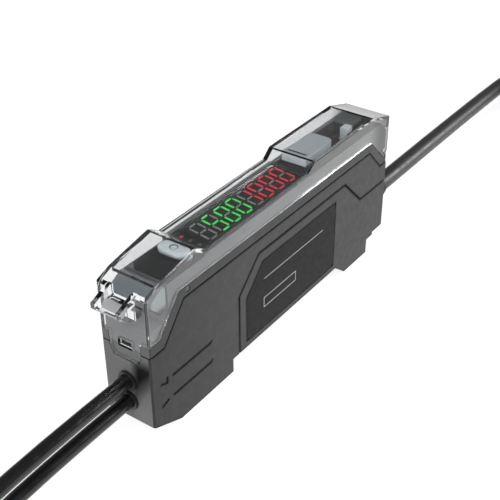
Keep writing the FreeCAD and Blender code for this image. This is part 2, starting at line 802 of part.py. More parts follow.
def upper_case():
    """Bezel: a full width band, and a narrower tower with the key and window openings."""
    item = body("upper_case")
    gap = running_gap
    ear_floor = hinge_height - ear_radius - gap
    slope_foot = hinge_x - ear_radius * (math.sqrt(2) - 1) - gap
    slope_head = slope_foot - (cover_edge_height - gap - ear_floor)
    band = side_view(item)
    polygon(band, parting_line(groove_width) + [
        (case_length, ear_floor),
        (slope_foot, ear_floor),
        (slope_head, cover_edge_height - gap),
        (cover_front_slope_end, cover_edge_height - gap),
        (cover_front_length, cover_front_height - gap),
        (0, cover_front_height - gap),
    ])
    grow(item, band, case_width, both=True)

    tower = side_view(item)
    front = cover_end_wall + gap
    shoulder = case_length - cover_wall - gap * 2
    polygon(tower, [
        (front, front_parting_height + groove_width),
        (front, lever_well_floor),
        (deck_start, lever_well_floor),
        (deck_start, front_deck_height),
        (deck_step_x, front_deck_height),
        (deck_step_x + deck_height - front_deck_height, deck_height),
        (shoulder - deck_height + ear_clear_height, deck_height),
        (shoulder, ear_clear_height),
        (case_length - gap, ear_clear_height - cover_wall),
        (case_length - gap, ear_floor),
        (slope_foot, ear_floor - groove_width),
        *parting_line(groove_width)[3:0:-1],
    ])
    grow(item, tower, tower_half * 2, both=True)

    # Inside: up to the underside of the deck, open downwards
    hollow = side_view(item)
    mouth = lever_pivot_x - cam_offset - slider_thickness
    low = front_parting_height
    polygon(hollow, [
        (mouth, low), (mouth, front_deck_height - roof_thickness),
        (deck_step_x, front_deck_height - roof_thickness), (deck_step_x, roof_underside),
        (cavity_end, roof_underside), (cavity_end, low),
    ])
    cut(item, hollow, cavity_half * 2, both=True)

    # Doorway of the lever arm in the front wall of the tower
    door = end_view(item, deck_start)
    arm = lever_arm_half_width + running_gap * 2
    rectangle(door, -arm, arm, lever_well_floor, front_deck_height - roof_thickness)
    cut(item, door, (mouth - deck_start) * 2, both=True)

    # Step along the far edge of the front deck
    step = end_view(item, deck_start)
    rectangle(step, cavity_half, half_width, front_deck_height - deck_edge_depth, deck_height)
    cut(item, step, deck_step_x - deck_start, reverse=True)

    openings = plan_view(item, deck_height)
    rectangle(openings, window_start - gap, window_start + window_length + gap,
              -cavity_half, cavity_half)
    rectangle(openings, rocker_start - key_gap, rocker_start + rocker_length + key_gap,
              rocker_near - key_gap, rocker_far + key_gap)
    low_end = selector_x - selector_length / 2 - selector_travel - key_gap
    rectangle(openings, low_end, selector_x + selector_length / 2 + key_gap,
              selector_y - selector_width / 2 - key_gap, selector_y + selector_width / 2 + key_gap)
    rectangle(openings, mode_button_start - key_gap,
              mode_button_start + mode_button_length + key_gap,
              mode_button_near - key_gap, mode_button_far + key_gap)
    oval(openings, set_button_x, 0, set_button_length + key_gap * 2,
         set_button_width + key_gap * 2)
    cut(item, openings, roof_thickness + front_deck_drop + gap)

    recess = end_view(item)
    polygon(recess, latch_outline(running_gap))
    cut(item, recess, (cover_end_wall + running_gap) * 2, both=True)

    # Catch that shows in the window of the latch tongue
    catch = end_view(item, cover_end_wall + running_gap)
    half = latch_window_half_width - running_gap
    rectangle(catch, -half, half, latch_window_bottom + running_gap * 2,
              latch_window_bottom + latch_window_height - running_gap)
    grow(item, catch, catch_height, reverse=True)

    bores = side_view(item)
    circle(bores, hinge_x, hinge_height, hinge_pin_diameter)
    circle(bores, lever_pivot_x, lever_pivot_z, lever_pin_diameter)
    cut(item, bores, case_width, both=True)

    # Blind bearings of the rocker's stubs
    bearing = side_view(item)
    circle(bearing, rocker_start + rocker_length / 2, rocker_pivot_z,
           (rocker_pivot_radius + running_gap / 2) * 2)
    cut(item, bearing, (tower_half - running_gap) * 2, both=True)

    corners = [(0, -half_width), (0, half_width), (case_length, -half_width),
               (case_length, half_width)]
    soften(item, "Chamfer", edge_round, edges_at(item, "z", corners))


def oval(drawing, u, v, across, along):
    """Draw a stadium: straight sides along the second axis and round ends."""
    radius = length(across) / 2
    reach = (length(along) - length(across)) / 2
    u, v = length(u), length(v)
    first = drawing.GeometryCount
    up = FreeCAD.Vector(0, 0, 1)
    for sign, start in ((FAR, 0), (NEAR, math.pi)):
        centre = point(u, v + reach * sign)
        ring = Part.Circle(centre, up, radius.value)
        drawing.addGeometry(Part.ArcOfCircle(ring, start, start + math.pi), False)
    right, left = u + radius, u - radius
    drawing.addGeometry(Part.LineSegment(point(left, v + reach), point(left, v - reach)), False)
    drawing.addGeometry(Part.LineSegment(point(right, v - reach), point(right, v + reach)), False)
    for a, end_a, b, end_b in ((0, 2, 2, 1), (2, 2, 1, 1), (1, 2, 3, 1), (3, 2, 0, 1)):
        drawing.addConstraint(
            Sketcher.Constraint("Tangent", first + a, end_a, first + b, end_b))
    pin(drawing, first, 3, u, v + reach)
    rule = drawing.addConstraint(Sketcher.Constraint("Radius", first, radius.value))
    drawing.setExpression(f"Constraints[{rule}]", radius.formula)
    drawing.addConstraint(Sketcher.Constraint("Vertical", first + 2))
    below = (v - reach)
    index = drawing.addConstraint(
        Sketcher.Constraint("DistanceY", -1, 1, first + 1, 3, below.value))
    drawing.setExpression(f"Constraints[{index}]", below.formula)


def dust_cover():
    """Clear hinged hood with its beak, latch tongue and hinge ears, moulded in one piece."""
    item = body("dust_cover")
    ear_foot = hinge_height - ear_radius
    ear_corner = hinge_x - ear_radius * (math.sqrt(2) - 1)
    ear_right = hinge_x + ear_radius
    slope_head = ear_corner - (cover_edge_height - ear_foot)
    outside = side_view(item)
    polygon(outside, [
        (0, cover_front_height),
        (cover_front_length, cover_front_height),
        (cover_front_slope_end, cover_edge_height),
        (slope_head, cover_edge_height),
        (ear_corner, ear_foot),
        (ear_right, ear_foot),
        (ear_right, cover_tail_height),
        (rear_bend_x, rear_crest_height),
        (rear_crest_x, rear_crest_height),
        (recess_end, recess_height),
        (recess_start, recess_height),
        (crest_x + crest_bevel, crest_height - crest_bevel / 2),
        (crest_x, crest_height),
        (notch_length, notch_edge_height),
        (0, cover_end_height),
    ])
    grow(item, outside, case_width, both=True)
    ear_corners = [(ear_corner, ear_foot), (ear_right, ear_foot)]
    soften(item, "Fillet", ear_round, edges_at(item, "y", ear_corners))

    # Beak: a wedge that stands out over the latch
    beak = side_view(item)
    polygon(beak, [
        (cover_end_wall, beak_root_height),
        (0, beak_root_height),
        (-beak_reach / 3, beak_root_height + beak_root_rise),
        (-beak_reach, beak_bar_height - beak_lip),
        (-beak_reach, beak_tip_height),
        (0, cover_end_height + beak_rib_rise),
        (cover_end_wall, cover_end_height + beak_rib_rise),
    ])
    grow(item, beak, beak_half_width * 2, both=True)

    # Hollow of the hood, open downwards, and at the cable end between the hinge ears
    hollow = side_view(item)
    wall = cover_wall
    step = wall / 5
    low = latch_bottom - wall
    past = case_length + beak_reach
    polygon(hollow, [
        (cover_end_wall, low),
        (past, low),
        (past, ear_clear_height),
        (ear_right - wall, ear_clear_height),
        (ear_right - wall, cover_tail_height - wall + step),
        (rear_bend_x - step, rear_crest_height - wall),
        (rear_crest_x + step * 2, rear_crest_height - wall),
        (recess_end + step * 2, recess_height - wall),
        (recess_start - step, recess_height - wall),
        (crest_x + crest_bevel - step * 2, crest_height - crest_bevel / 2 - wall),
        (crest_x, crest_height - wall),
        (notch_length, notch_edge_height - wall),
        (cover_end_wall, cover_end_height - wall + step * 2),
    ])
    cut(item, hollow, cover_inner_half * 2, both=True)

    # Notch over the lever, between the side walls
    notch = side_view(item)
    above = rear_crest_height + wall
    rectangle(notch, cover_end_wall, notch_length, beak_root_height, above)
    cut(item, notch, cover_inner_half * 2, both=True)

    # Channel of the beak between its two ribs: bar at the tip, thumb pad at the root
    channel = side_view(item)
    bar = beak_reach - beak_bar_width
    pad_start = bar - beak_bar_width
    polygon(channel, [
        (-beak_reach - wall, beak_bar_height),
        (-bar, beak_bar_height),
        (-bar, beak_bar_height - beak_bar_width),
        (-pad_start, beak_bar_height - beak_bar_width),
        (-pad_start + beak_bar_width, beak_pad_height),
        (cover_end_wall + wall, beak_pad_height),
        (cover_end_wall + wall, above),
        (-beak_reach - wall, above),
    ])
    cut(item, channel, (beak_half_width - beak_rib) * 2, both=True)
    soften(item, "Fillet", beak_bar_width,
           edges_at(item, "y", [(-pad_start + beak_bar_width, beak_pad_height)]))

    # Latch tongue with its window
    tongue = end_view(item)
    polygon(tongue, latch_outline(length(0))[1:-1] + [
        (latch_top_half_width, cover_front_height + wall),
        (-latch_top_half_width, cover_front_height + wall),
    ])
    grow(item, tongue, cover_end_wall)
    window = end_view(item)
    rectangle(window, -latch_window_half_width, latch_window_half_width,
              latch_window_bottom, latch_window_bottom + latch_window_height)
    cut(item, window, cover_end_wall * 2, both=True)

    eyes = side_view(item)
    circle(eyes, hinge_x, hinge_height, hinge_pin_diameter + bore_clearance)
    cut(item, eyes, case_width, both=True)
    corners = [(0, -half_width), (0, half_width)]
    soften(item, "Chamfer", edge_round, edges_at(item, "z", corners))


def hinge_pins():
    """Steel pins of the cover hinge and of the lock lever."""
    pin_length = case_width - running_gap * 2
    keep("hinge_pin", rod("hinge_pin", hinge_pin_diameter,
                          (hinge_x, -pin_length / 2, hinge_height), pin_length, ALONG_Y))
    keep("lever_pin", rod("lever_pin", lever_pin_diameter,
                          (lever_pivot_x, -tower_half, lever_pivot_z), tower_half * 2, ALONG_Y))


def fibre_side():
    """Bushings, holder block and the fibre ends that it holds, with the light source and receiver."""
    hole = fibre_diameter + bore_clearance / 2
    bushing = hole + bushing_wall * 2
    for name, height in (("transmit", port_high), ("receive", port_low)):
        item = body(f"{name}_bushing")
        flange = end_view(item, -bushing_flange_thickness)
        circle(flange, 0, height, bushing_flange)
        circle(flange, 0, height, hole)
        grow(item, flange, bushing_flange_thickness)
        barrel = end_view(item)
        circle(barrel, 0, height, bushing)
        circle(barrel, 0, height, hole)
        grow(item, barrel, end_wall)
        end = rod(f"{name}_fibre_end", fibre_diameter, (-bushing_flange_thickness, 0, height),
                  fibre_depth + bushing_flange_thickness, ALONG_X)
        keep(f"{name}_fibre_end", end)

    item = body("fibre_holder")
    block = side_view(item)
    rectangle(block, end_wall, end_wall + holder_length, floor_wall, floor_wall + holder_height)
    grow(item, block, (cavity_half - holder_clearance) * 2, both=True)
    bores = end_view(item)
    circle(bores, 0, port_low, fibre_diameter + bore_clearance)
    circle(bores, 0, port_high, fibre_diameter + bore_clearance)
    cut(item, bores, (end_wall + holder_length) * 2, both=True)
    slot = side_view(item)
    left, right = slider_sides()
    gap = running_gap
    rectangle(slot, left - gap, right + gap, slider_foot() - clamp_stroke - gap,
              floor_wall + holder_height)
    cut(item, slot, (slider_half_width + gap) * 2, both=True)


def slider_sides():
    """The two faces of the clamp slider along the case."""
    middle = lever_pivot_x - cam_offset
    return middle - slider_thickness / 2, middle + slider_thickness / 2


def slider_foot():
    """Underside of the clamp slider: its stroke above the lower fibre."""
    return port_low + fibre_radius + clamp_stroke + bore_clearance / 2


def clamp_slider():
    """Plate that the lever's cam presses down on both fibres, through a window round the upper one."""
    item = body("clamp_slider")
    left, right = slider_sides()
    foot = slider_foot()
    top = lever_pivot_z - cam_height() - cam_radius - bore_clearance / 2
    plate = end_view(item, left)
    rectangle(plate, -slider_half_width, slider_half_width, foot, top)
    window_top = foot + port_pitch
    window_foot = port_high - fibre_radius - bore_clearance / 2
    side = fibre_radius + bore_clearance
    rectangle(plate, -side, side, window_foot, window_top)
    grow(item, plate, right - left)


def cam_height():
    """How far the middle of the cam lies below the pivot."""
    return lever_hub_radius


def lock_lever():
    """Fibre lock lever: a wide finger plate, an arm through the tower wall, a hub and a cam."""
    item = body("lock_lever")
    px, pz = lever_pivot_x, lever_pivot_z
    plate = side_view(item)
    back = deck_start - running_gap * 2
    knee = lever_tip_x + lever_knee
    polygon(plate, [
        (lever_tip_x, lever_top - lever_nose_drop),
        (knee, lever_top),
        (back, lever_top - running_gap),
        (back, pz - lever_plate_foot),
        (knee - running_gap * 2, pz - lever_knee_foot),
        (lever_tip_x, lever_top - lever_nose_drop - lever_nose_thickness),
    ])
    grow(item, plate, (cover_inner_half - lever_clearance) * 2, both=True)
    soften(item, "Fillet", key_round, edges_at(item, "y", [(knee, lever_top)]))
    arm = side_view(item)
    polygon(arm, [
        (back - lever_arm_overlap, pz + lever_hub_radius),
        (px, pz + lever_hub_radius),
        (px, pz - lever_hub_radius),
        (px - cam_offset, pz - lever_hub_radius),
        (back - lever_arm_overlap, pz - lever_arm_foot),
    ])
    grow(item, arm, lever_arm_half_width * 2, both=True)
    hub = side_view(item)
    circle(hub, px, pz, lever_hub_radius * 2)
    grow(item, hub, lever_arm_half_width * 2, both=True)
    cam = side_view(item)
    circle(cam, px - cam_offset, pz - cam_height(), cam_radius * 2)
    grow(item, cam, slider_half_width * 2, both=True)
    eye = side_view(item)
    circle(eye, px, pz, lever_pin_diameter + bore_clearance)
    cut(item, eye, case_width, both=True)


def optics():
    """Light source and receiver behind the fibre ends, with their legs on the main board."""
    face = optics_face
    back = face + led_diameter
    board_face = cavity_half - board_thickness
    dome = primitive("Cone", "led_dome", (face, 0, port_high), ALONG_X, Radius1=led_diameter / 4,
                     Radius2=led_diameter / 2, Height=led_diameter / 2)
    barrel = rod("led_barrel", led_diameter, (face + led_diameter / 2, 0, port_high),
                 led_diameter, ALONG_X)
    keep("emitter_led", joined("emitter_led", [dome, barrel, *legs("led", back, port_high)]))
    half = led_diameter / 2
    case = box("receiver_case", (face + half / 2, back), (-half, half),
               (port_low - half, port_low + half))
    lens = rod("receiver_lens", lens_diameter, (face, 0, port_low), led_diameter, ALONG_X)
    keep("photodiode", joined("photodiode", [case, lens, *legs("receiver", face + half, port_low)]))
    shield_x = (shield_start, shield_end)
    outer = box("shield_outer", shield_x, (board_face - led_diameter, board_face),
                (port_low - half, port_high + half))
    inner = box("shield_inner", (shield_x[0] + sheet_metal, shield_x[1] - sheet_metal),
                (board_face - led_diameter + sheet_metal, board_face),
                (port_low - half + sheet_metal, port_high + half - sheet_metal))
    keep("preamp_shield", less("preamp_shield", outer, inner))


def legs(name, x, z):
    """Two wire legs from a part on the optical axis across to the main board."""
    board_face = cavity_half - board_thickness
    return [rod(f"{name}_leg", leg_diameter, (x, 0, z + leg_pitch / 2 * side), board_face, ALONG_Y)
            for side in (NEAR, FAR)]


def boards():
    """Upright main board on the far wall, the key and display board on top of it, and their parts."""
    board_face = cavity_half - board_thickness
    board_end = case_length - board_end_inset
    main_start = end_wall + holder_length + running_gap
    keep("main_board", box("main_board", (main_start, board_end), (board_face, cavity_half),
                           (floor_wall, board_level)))
    keep("display_board", box("display_board", (board_start, board_end),
                              (-board_half_width, board_half_width), (board_level, board_top)))
    chip = box("chip", (chip_x, chip_x + chip_side), (board_face - chip_thickness, board_face),
               (plate_corner_height - chip_side, plate_corner_height))
    keep("controller_chip", chip)
    keep("link_plug", box("link_plug", (plug_x, plug_x + plug_length),
                          (-half_width + plate_depth + running_gap, board_face),
                          (plug_bottom, plug_bottom + plug_height)))
    keep("terminal_block", box("terminal_block", (terminal_x, terminal_x + terminal_length),
                               (-cable_diameter / 2, board_face),
                               (floor_wall, cable_height + cable_diameter / 2)))
    window_end = window_start + window_length
    keep("display_window", box("display_window", (window_start, window_end),
                               (-cavity_half + running_gap, cavity_half - running_gap),
                               (window_foot, window_foot + window_thickness)))
    for label, start in (("green_display", digit_block_start),
                         ("red_display", digit_block_start + digit_block_length)):
        item = body(label)
        block = plan_view(item, board_top)
        rectangle(block, start, start + digit_block_length, -board_half_width, board_half_width)
        grow(item, block, digit_top - board_top)
    light_x = window_start + indicator_inset
    lights = [box("indicator", (light_x, light_x + indicator_length),
                  (indicator_pitch * row - indicator_width / 2,
                   indicator_pitch * row + indicator_width / 2),
                  (board_top, digit_top)) for row in (NEAR, 0, FAR)]
    keep("indicator_leds", joined("indicator_leds", lights, "Compound"))


def tact_switch(label, x, y, side):
    """A small push switch: a square case with a round plunger, on the key board."""
    x, y = length(x), length(y)
    half = side / 2
    case = box(f"{label}_case", (x - half, x + half), (y - half, y + half),
               (board_top, board_top + switch_height))
    plunger = rod(f"{label}_plunger", side / 2, (x, y, board_top), switch_height + plunger_rise)
    return joined(label, [case, plunger])


def keys():
    """The oval set button, the rocking up and down key, the selector and the mode button."""
    plunger_top = board_top + switch_height + plunger_rise
    key_foot = plunger_top + key_travel + key_gap / 2

    item = body("set_button")
    skirt = plan_view(item, key_foot)
    reach = key_gap * 2
    rectangle(skirt, set_button_x - set_button_length / 2 - reach / 2,
              set_button_x + set_button_length / 2,
              -set_button_width / 2 + key_gap, set_button_width / 2 - key_gap)
    grow(item, skirt, skirt_height)
    crown = plan_view(item, key_foot)
    oval(crown, set_button_x, 0, set_button_length, set_button_width)
    grow(item, crown, set_button_top - key_foot)
    rim = [f"Edge{n}" for n, e in enumerate(item.Tip.Shape.Edges, 1)
           if abs(e.BoundBox.ZMin - set_button_top.value) < 1e-3
           and abs(e.BoundBox.ZMax - set_button_top.value) < 1e-3]
    soften(item, "Chamfer", key_round, rim)
    dimple = plan_view(item, set_button_top)
    circle(dimple, set_button_x, 0, dimple_diameter)
    cut(item, dimple, key_gap / 2)
    keep("set_switch", tact_switch("set_switch", set_button_x + key_gap, 0, switch_side))

    item = body("rocker_key")
    middle_x = rocker_start + rocker_length / 2
    top = side_view(item, rocker_near)
    rocker_foot = rocker_pivot_z - rocker_foot_drop
    polygon(top, [
        (rocker_start, rocker_foot + key_gap),
        (middle_x, rocker_foot),
        (rocker_start + rocker_length, rocker_foot + key_gap),
        (rocker_start + rocker_length, rocker_top - key_gap),
        (middle_x, rocker_top - rocker_dip),
        (rocker_start, rocker_top),
    ])
    grow(item, top, rocker_far - rocker_near, reverse=True)
    pin_end = tower_half - running_gap * 2
    for face, reach, far_side in ((rocker_near, pin_end + rocker_near, False),
                                  (rocker_far, pin_end - rocker_far, True)):
        stub = side_view(item, face)
        circle(stub, middle_x, rocker_pivot_z, rocker_pivot_radius * 2)
        grow(item, stub, reach, reverse=far_side)
    corners = [(rocker_start + rocker_length, rocker_near),
               (rocker_start + rocker_length, rocker_far)]
    soften(item, "Chamfer", key_round * 2, edges_at(item, "z", corners))
    front = edges_at(item, "y", [(rocker_start, rocker_top)])
    soften(item, "Fillet", key_round, front)
    slot = plan_view(item, rocker_top)
    slot_x = rocker_start + rocker_slot_inset
    rectangle(slot, slot_x, slot_x + rocker_slot_width, rocker_near + rocker_slot_margin,
              rocker_far - rocker_slot_margin)
    cut(item, slot, rocker_slot_depth)
    pair = [tact_switch("rocker_switch", middle_x + rocker_switch_offset * way,
                        (rocker_near + rocker_far) / 2, rocker_switch_side)
            for way in (NEAR, FAR)]
    keep("rocker_switches", joined("rocker_switches", pair, "Compound"))

    item = body("selector_knob")
    knob = plan_view(item, board_top + switch_height + key_gap)
    half = selector_length / 2
    rectangle(knob, selector_x - half, selector_x + half, selector_y - selector_width / 2,
              selector_y + selector_width / 2)
    grow(item, knob, selector_top - board_top - switch_height - key_gap)
    foot_x = (selector_x - half - selector_travel, selector_x + half)
    keep("selector_switch", box("selector_switch", foot_x,
                                (selector_y - selector_width, selector_y + selector_width),
                                (board_top, board_top + switch_height)))

    item = body("mode_button")
    block = plan_view(item, key_foot)
    rectangle(block, mode_button_start, mode_button_start + mode_button_length,
              mode_button_near, mode_button_far)
    grow(item, block, mode_button_top - key_foot)
    edge = edges_at(item, "y", [(mode_button_start, mode_button_top)])
    soften(item, "Fillet", key_round * 2, edge)
    keep("mode_switch", tact_switch("mode_switch", mode_button_start + mode_button_length / 2,
                                    (mode_button_near + mode_button_far) / 2, switch_side))


def cable_entry():
    """Strain relief boot in the end wall, and the end of the sheath that it holds."""
    bore = cable_diameter + boot_clearance
    item = body("cable_boot")
    start = case_length - end_wall - boot_clearance
    for foot, diameter, reach in (
            (start - boot_flange_thickness, boot_flange_diameter, boot_flange_thickness),
            (start, boot_root_diameter, end_wall + boot_clearance)):
        disc = end_view(item, foot)
        circle(disc, 0, cable_height, diameter)
        circle(disc, 0, cable_height, bore)
        grow(item, disc, reach)
    pitch = boot_length / BOOT_RINGS
    for ring in range(BOOT_RINGS):
        taper = (boot_root_diameter - boot_tip_diameter) * (ring / (BOOT_RINGS - 1))
        for foot, diameter, reach in (
                (case_length + pitch * ring, boot_root_diameter - taper, pitch * RING_SHARE),
                (case_length + pitch * (ring + RING_SHARE), boot_tip_diameter - boot_groove,
                 pitch * (1 - RING_SHARE))):
            disc = end_view(item, foot)
            circle(disc, 0, cable_height, diameter)
            circle(disc, 0, cable_height, bore)
            grow(item, disc, reach)
    sheath_start = terminal_x + terminal_length
    keep("cable_sheath_end", rod("cable_sheath_end", cable_diameter,
                                 (sheath_start, 0, cable_height),
                                 case_length + boot_length - sheath_start, ALONG_X))


def cord(label, route, diameter):
    """A lead as straight runs joined by tangent arcs as large as the runs allow."""
    points = [FreeCAD.Vector(*place) for place in route]
    radius = diameter / 2
    edges = []
    travelled = 0
    start = points[0]
    for before, corner, after in zip(points, points[1:], points[2:]):
        into = corner - before
        out = after - corner
        turn = into.getAngle(out)
        reach = RUN_SHARE * min(into.Length, out.Length)
        bend = reach / math.tan(turn / 2)
        into.normalize()
        out.normalize()
        first, last = corner - into * reach, corner + out * reach
        inward = out - into
        inward.normalize()
        middle = corner + inward * (math.hypot(bend, reach) - bend)
        print(f"{label}: bend {bend:.1f} mm, {bend / diameter:.1f} diameters")
        edges.append(Part.LineSegment(start, first).toShape())
        edges.append(Part.Arc(first, middle, last).toShape())
        travelled += (first - start).Length + bend * turn
        start = last
    edges.append(Part.LineSegment(start, points[-1]).toShape())
    travelled += (points[-1] - start).Length
    ring = Part.Wire([Part.Circle(points[0], points[1] - points[0], radius).toShape()])
    solid = Part.Wire(edges).makePipeShell([ring], True, False)
    expected = math.pi * radius ** 2 * travelled
    print(f"{label}: length {travelled:.1f} mm, volume {solid.Volume:.1f} of {expected:.1f} mm3")
    if abs(solid.Volume / expected - 1) > VOLUME_TOLERANCE:
        raise ValueError(f"{label} doesn't have the volume of its length")
    return solid


def lay(label, solid):
    """Keep a soft or lying piece that is already in the frame of the whole."""
    item = doc.addObject("Part::Feature", label)
    item.Label = label
    item.Shape = solid
    item.Placement = FreeCAD.Placement()
    nodes[label] = item


def slot_edge(near, far, middle, radius, level):
    """A racetrack outline: half circles about two points of a line along x."""
    up = FreeCAD.Vector(0, 0, 1)
    left, right = sorted((near, far))
    ends = [(FreeCAD.Vector(right, middle, level), -90), (FreeCAD.Vector(left, middle, level), 90)]
    arcs = [Part.makeCircle(radius, centre, up, start, start + 180) for centre, start in ends]
    tips = [(arc.valueAt(arc.FirstParameter), arc.valueAt(arc.LastParameter)) for arc in arcs]
    return Part.Wire([
        arcs[0], Part.LineSegment(tips[0][1], tips[1][0]).toShape(),
        arcs[1], Part.LineSegment(tips[1][1], tips[0][0]).toShape(),
    ])


def hank(label, near, far, middle, level, turns, diameter):
    """The outer shape of a lead folded into long turns: columns beside, layers on each other."""
    columns, layers = turns
    inner = HANK_FOLD * diameter - diameter / 2
    rise = FreeCAD.Vector(0, 0, layers * diameter)
    outside, inside = [Part.Face(slot_edge(near, far, middle, radius, level)).extrude(rise)
                       for radius in (inner + columns * diameter, inner)]
    lay(label, outside.cut(inside))


def head(label, tip):
    """Threaded metal head on a fibre's far end, with the sleeve that grips the fibre."""
    along = FreeCAD.Vector(-1, 0, 0)
    start = FreeCAD.Vector(*tip)
    sleeve = Part.makeCylinder(head_sleeve_diameter.value / 2, head_sleeve_length.value,
                               start, along)
    thread_start = start + along * head_sleeve_length.value
    barrel = Part.makeCylinder(head_diameter.value / 2, head_length.value, thread_start, along)
    lay(label, sleeve.fuse(barrel).removeSplitter())
    return thread_start + along * head_length.value * NUT_PLACE


def hexagon_nut(place):
    """A thin hexagon nut on a head, one flat down."""
    radius = nut_across_flats.value / math.sqrt(3)
    corners = []
    for corner in range(7):
        angle = math.radians(60 * corner)
        corners.append(place + FreeCAD.Vector(0, radius * math.cos(angle), radius * math.sin(angle)))
    block = Part.Face(Part.makePolygon(corners)).extrude(
        FreeCAD.Vector(-nut_thickness.value, 0, 0))
    bore = Part.makeCylinder(head_diameter.value / 2 + NUT_CLEARANCE, nut_thickness.value * 3,
                             place + FreeCAD.Vector(nut_thickness.value, 0, 0),
                             FreeCAD.Vector(-1, 0, 0))
    return block.cut(bore)


def fibre_leads():
    """Two fibres: straight out of the ports, then folded into two hanks, one on the other."""
    fibre = fibre_diameter.value
    start = (frame_x - bushing_flange_thickness).value
    near, far, middle = FIBRE_HANK
    turns = FIBRE_TURNS
    thickness = turns[1] * fibre
    high = (port_high + frame_z).value
    low = (port_low + frame_z).value
    routes = {
        "transmit_fibre": [(start, 0, high), (-69, 0, high), (-80, 0, 6.7)],
        "receive_fibre": [(start, 0, low), (-69, 0, low), (-80, 0, 1.3)],
        "transmit_tail": [(-87, -4.9, 9.6), (-99, -3.2, 13.4), (-111, -2.6, 13.9)],
        "receive_tail": [(-87, -5.6, 3.6), (-99, -10.6, 2.8), (-111, -12.4, 3.5)],
    }
    for label, route in routes.items():
        lay(label, cord(label, route, fibre))
    nuts = []
    for level, name in enumerate(("receive", "transmit")):
        hank(f"{name}_hank", near, far, middle, level * thickness, turns, fibre)
        nuts.append(hexagon_nut(head(f"{name}_head", routes[f"{name}_tail"][-1])))
    lay("head_nuts", Part.makeCompound(nuts))


def cable_leads():
    """The cable: straight out of the boot, folded into a hank, with its bare cores on top."""
    cable = cable_diameter.value
    start = (frame_x + case_length + boot_length).value
    level = (cable_height + frame_z).value
    near, far, middle = CABLE_HANK
    lead = [(start, 0, level), (119, 0, level), (132, 2.2, 2.9), (139, 3.1, 2.0)]
    tail = [(196, -23.8, 17.8), (184, -24.9, 20.6), (172, -25.3, 20.9)]
    lay("cable_lead", cord("cable_lead", lead, cable))
    hank("cable_hank", near, far, middle, 0, CABLE_TURNS, cable)
    lay("cable_tail", cord("cable_tail", tail, cable))
    x, y, z = tail[-1]
    length_along, spread, fall = CORE_REACH
    cores = [cord("cable_core", [(x, y + way, z),
                                 (x - length_along, y + way * spread, z - fall)], CORE_DIAMETER)
             for way in (NEAR, 0, FAR)]
    lay("cable_cores", Part.makeCompound(cores))


lower_case()
side_cover()
label_plate()
upper_case()
dust_cover()
hinge_pins()
fibre_side()
clamp_slider()
lock_lever()
optics()
boards()
keys()
cable_entry()
fibre_leads()
cable_leads()
doc.recompute()

for item in doc.Objects:
    if "Invalid" in item.State or "Error" in item.State:
        raise ValueError(f"{item.Label} could not be built: {item.State}")
os.makedirs("parts", exist_ok=True)
for label, item in nodes.items():
    if item.Shape.isNull() or not item.Shape.isValid() or not item.Shape.Solids:
        raise ValueError(f"{label} is not a valid solid")
for label, item in nodes.items():
    item.Shape.exportStep(f"parts/{label}.step")
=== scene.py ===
import math

import bmesh
import bpy
from mathutils import Matrix, Vector


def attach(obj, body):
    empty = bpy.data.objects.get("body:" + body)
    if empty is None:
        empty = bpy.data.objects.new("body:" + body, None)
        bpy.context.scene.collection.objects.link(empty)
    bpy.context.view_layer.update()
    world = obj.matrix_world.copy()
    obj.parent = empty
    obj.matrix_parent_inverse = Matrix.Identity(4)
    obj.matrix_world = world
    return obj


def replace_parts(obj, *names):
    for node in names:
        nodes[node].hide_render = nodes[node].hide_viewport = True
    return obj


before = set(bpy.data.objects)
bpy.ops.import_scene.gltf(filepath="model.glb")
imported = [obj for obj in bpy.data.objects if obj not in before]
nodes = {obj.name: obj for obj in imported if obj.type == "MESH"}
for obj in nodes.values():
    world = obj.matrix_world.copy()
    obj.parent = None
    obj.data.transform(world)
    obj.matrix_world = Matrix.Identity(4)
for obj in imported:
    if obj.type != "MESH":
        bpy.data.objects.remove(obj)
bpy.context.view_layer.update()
scene = bpy.context.scene

# Lengths are in millimetres unless a comment says metres.
MM = 0.001


# ---------------------------------------------------------------- camera and light
CAMERA_RIGHT = (0.58031719, -0.81437362, -0.00525015)
CAMERA_UP = (0.45278058, 0.31727649, 0.83326189)
CAMERA_BACK = (-0.67692075, -0.48593337, 0.55285356)
CAMERA_PLACE = (-0.124097, -0.087720, 0.117676)  # metres
CAMERA_LENS = 70.745
CAMERA_SENSOR = 36
CAMERA_RANGE = (0.005, 20)  # metres

# Name, place, target and size in metres, and power in watts.
LAMPS = (
    ("key", (-0.55, -0.15, 0.65), (0, 0, 0.02), (0.5, 0.5), 4.6),
    ("fill", (0.62, -0.50, 0.32), (0.06, 0, 0.02), (0.36, 0.3), 4.9),
    ("rim", (-0.2, 0.75, 0.5), (0, 0, 0.02), (0.8, 0.3), 1.2),
)
ROOM_STRENGTH = 0.15


def new_object(name, data):
    piece = bpy.data.objects.new(name, data)
    scene.collection.objects.link(piece)
    return piece


def aim_camera():
    """The camera at the photograph's place, from its three axes and its position."""
    data = bpy.data.cameras.new("camera")
    data.sensor_width = CAMERA_SENSOR
    data.lens = CAMERA_LENS
    data.clip_start, data.clip_end = CAMERA_RANGE
    camera = new_object("camera", data)
    matrix = Matrix.Identity(4)
    for column, axis in enumerate((CAMERA_RIGHT, CAMERA_UP, CAMERA_BACK, CAMERA_PLACE)):
        for row in range(3):
            matrix[row][column] = axis[row]
    camera.matrix_world = matrix
    scene.camera = camera


def area_light(name, place, target, size, power):
    data = bpy.data.lights.new(name, "AREA")
    data.shape = "RECTANGLE"
    data.size, data.size_y = size
    data.energy = power
    lamp = new_object(name, data)
    lamp.location = place
    lamp.rotation_euler = (Vector(target) - Vector(place)).to_track_quat("-Z", "Y").to_euler()


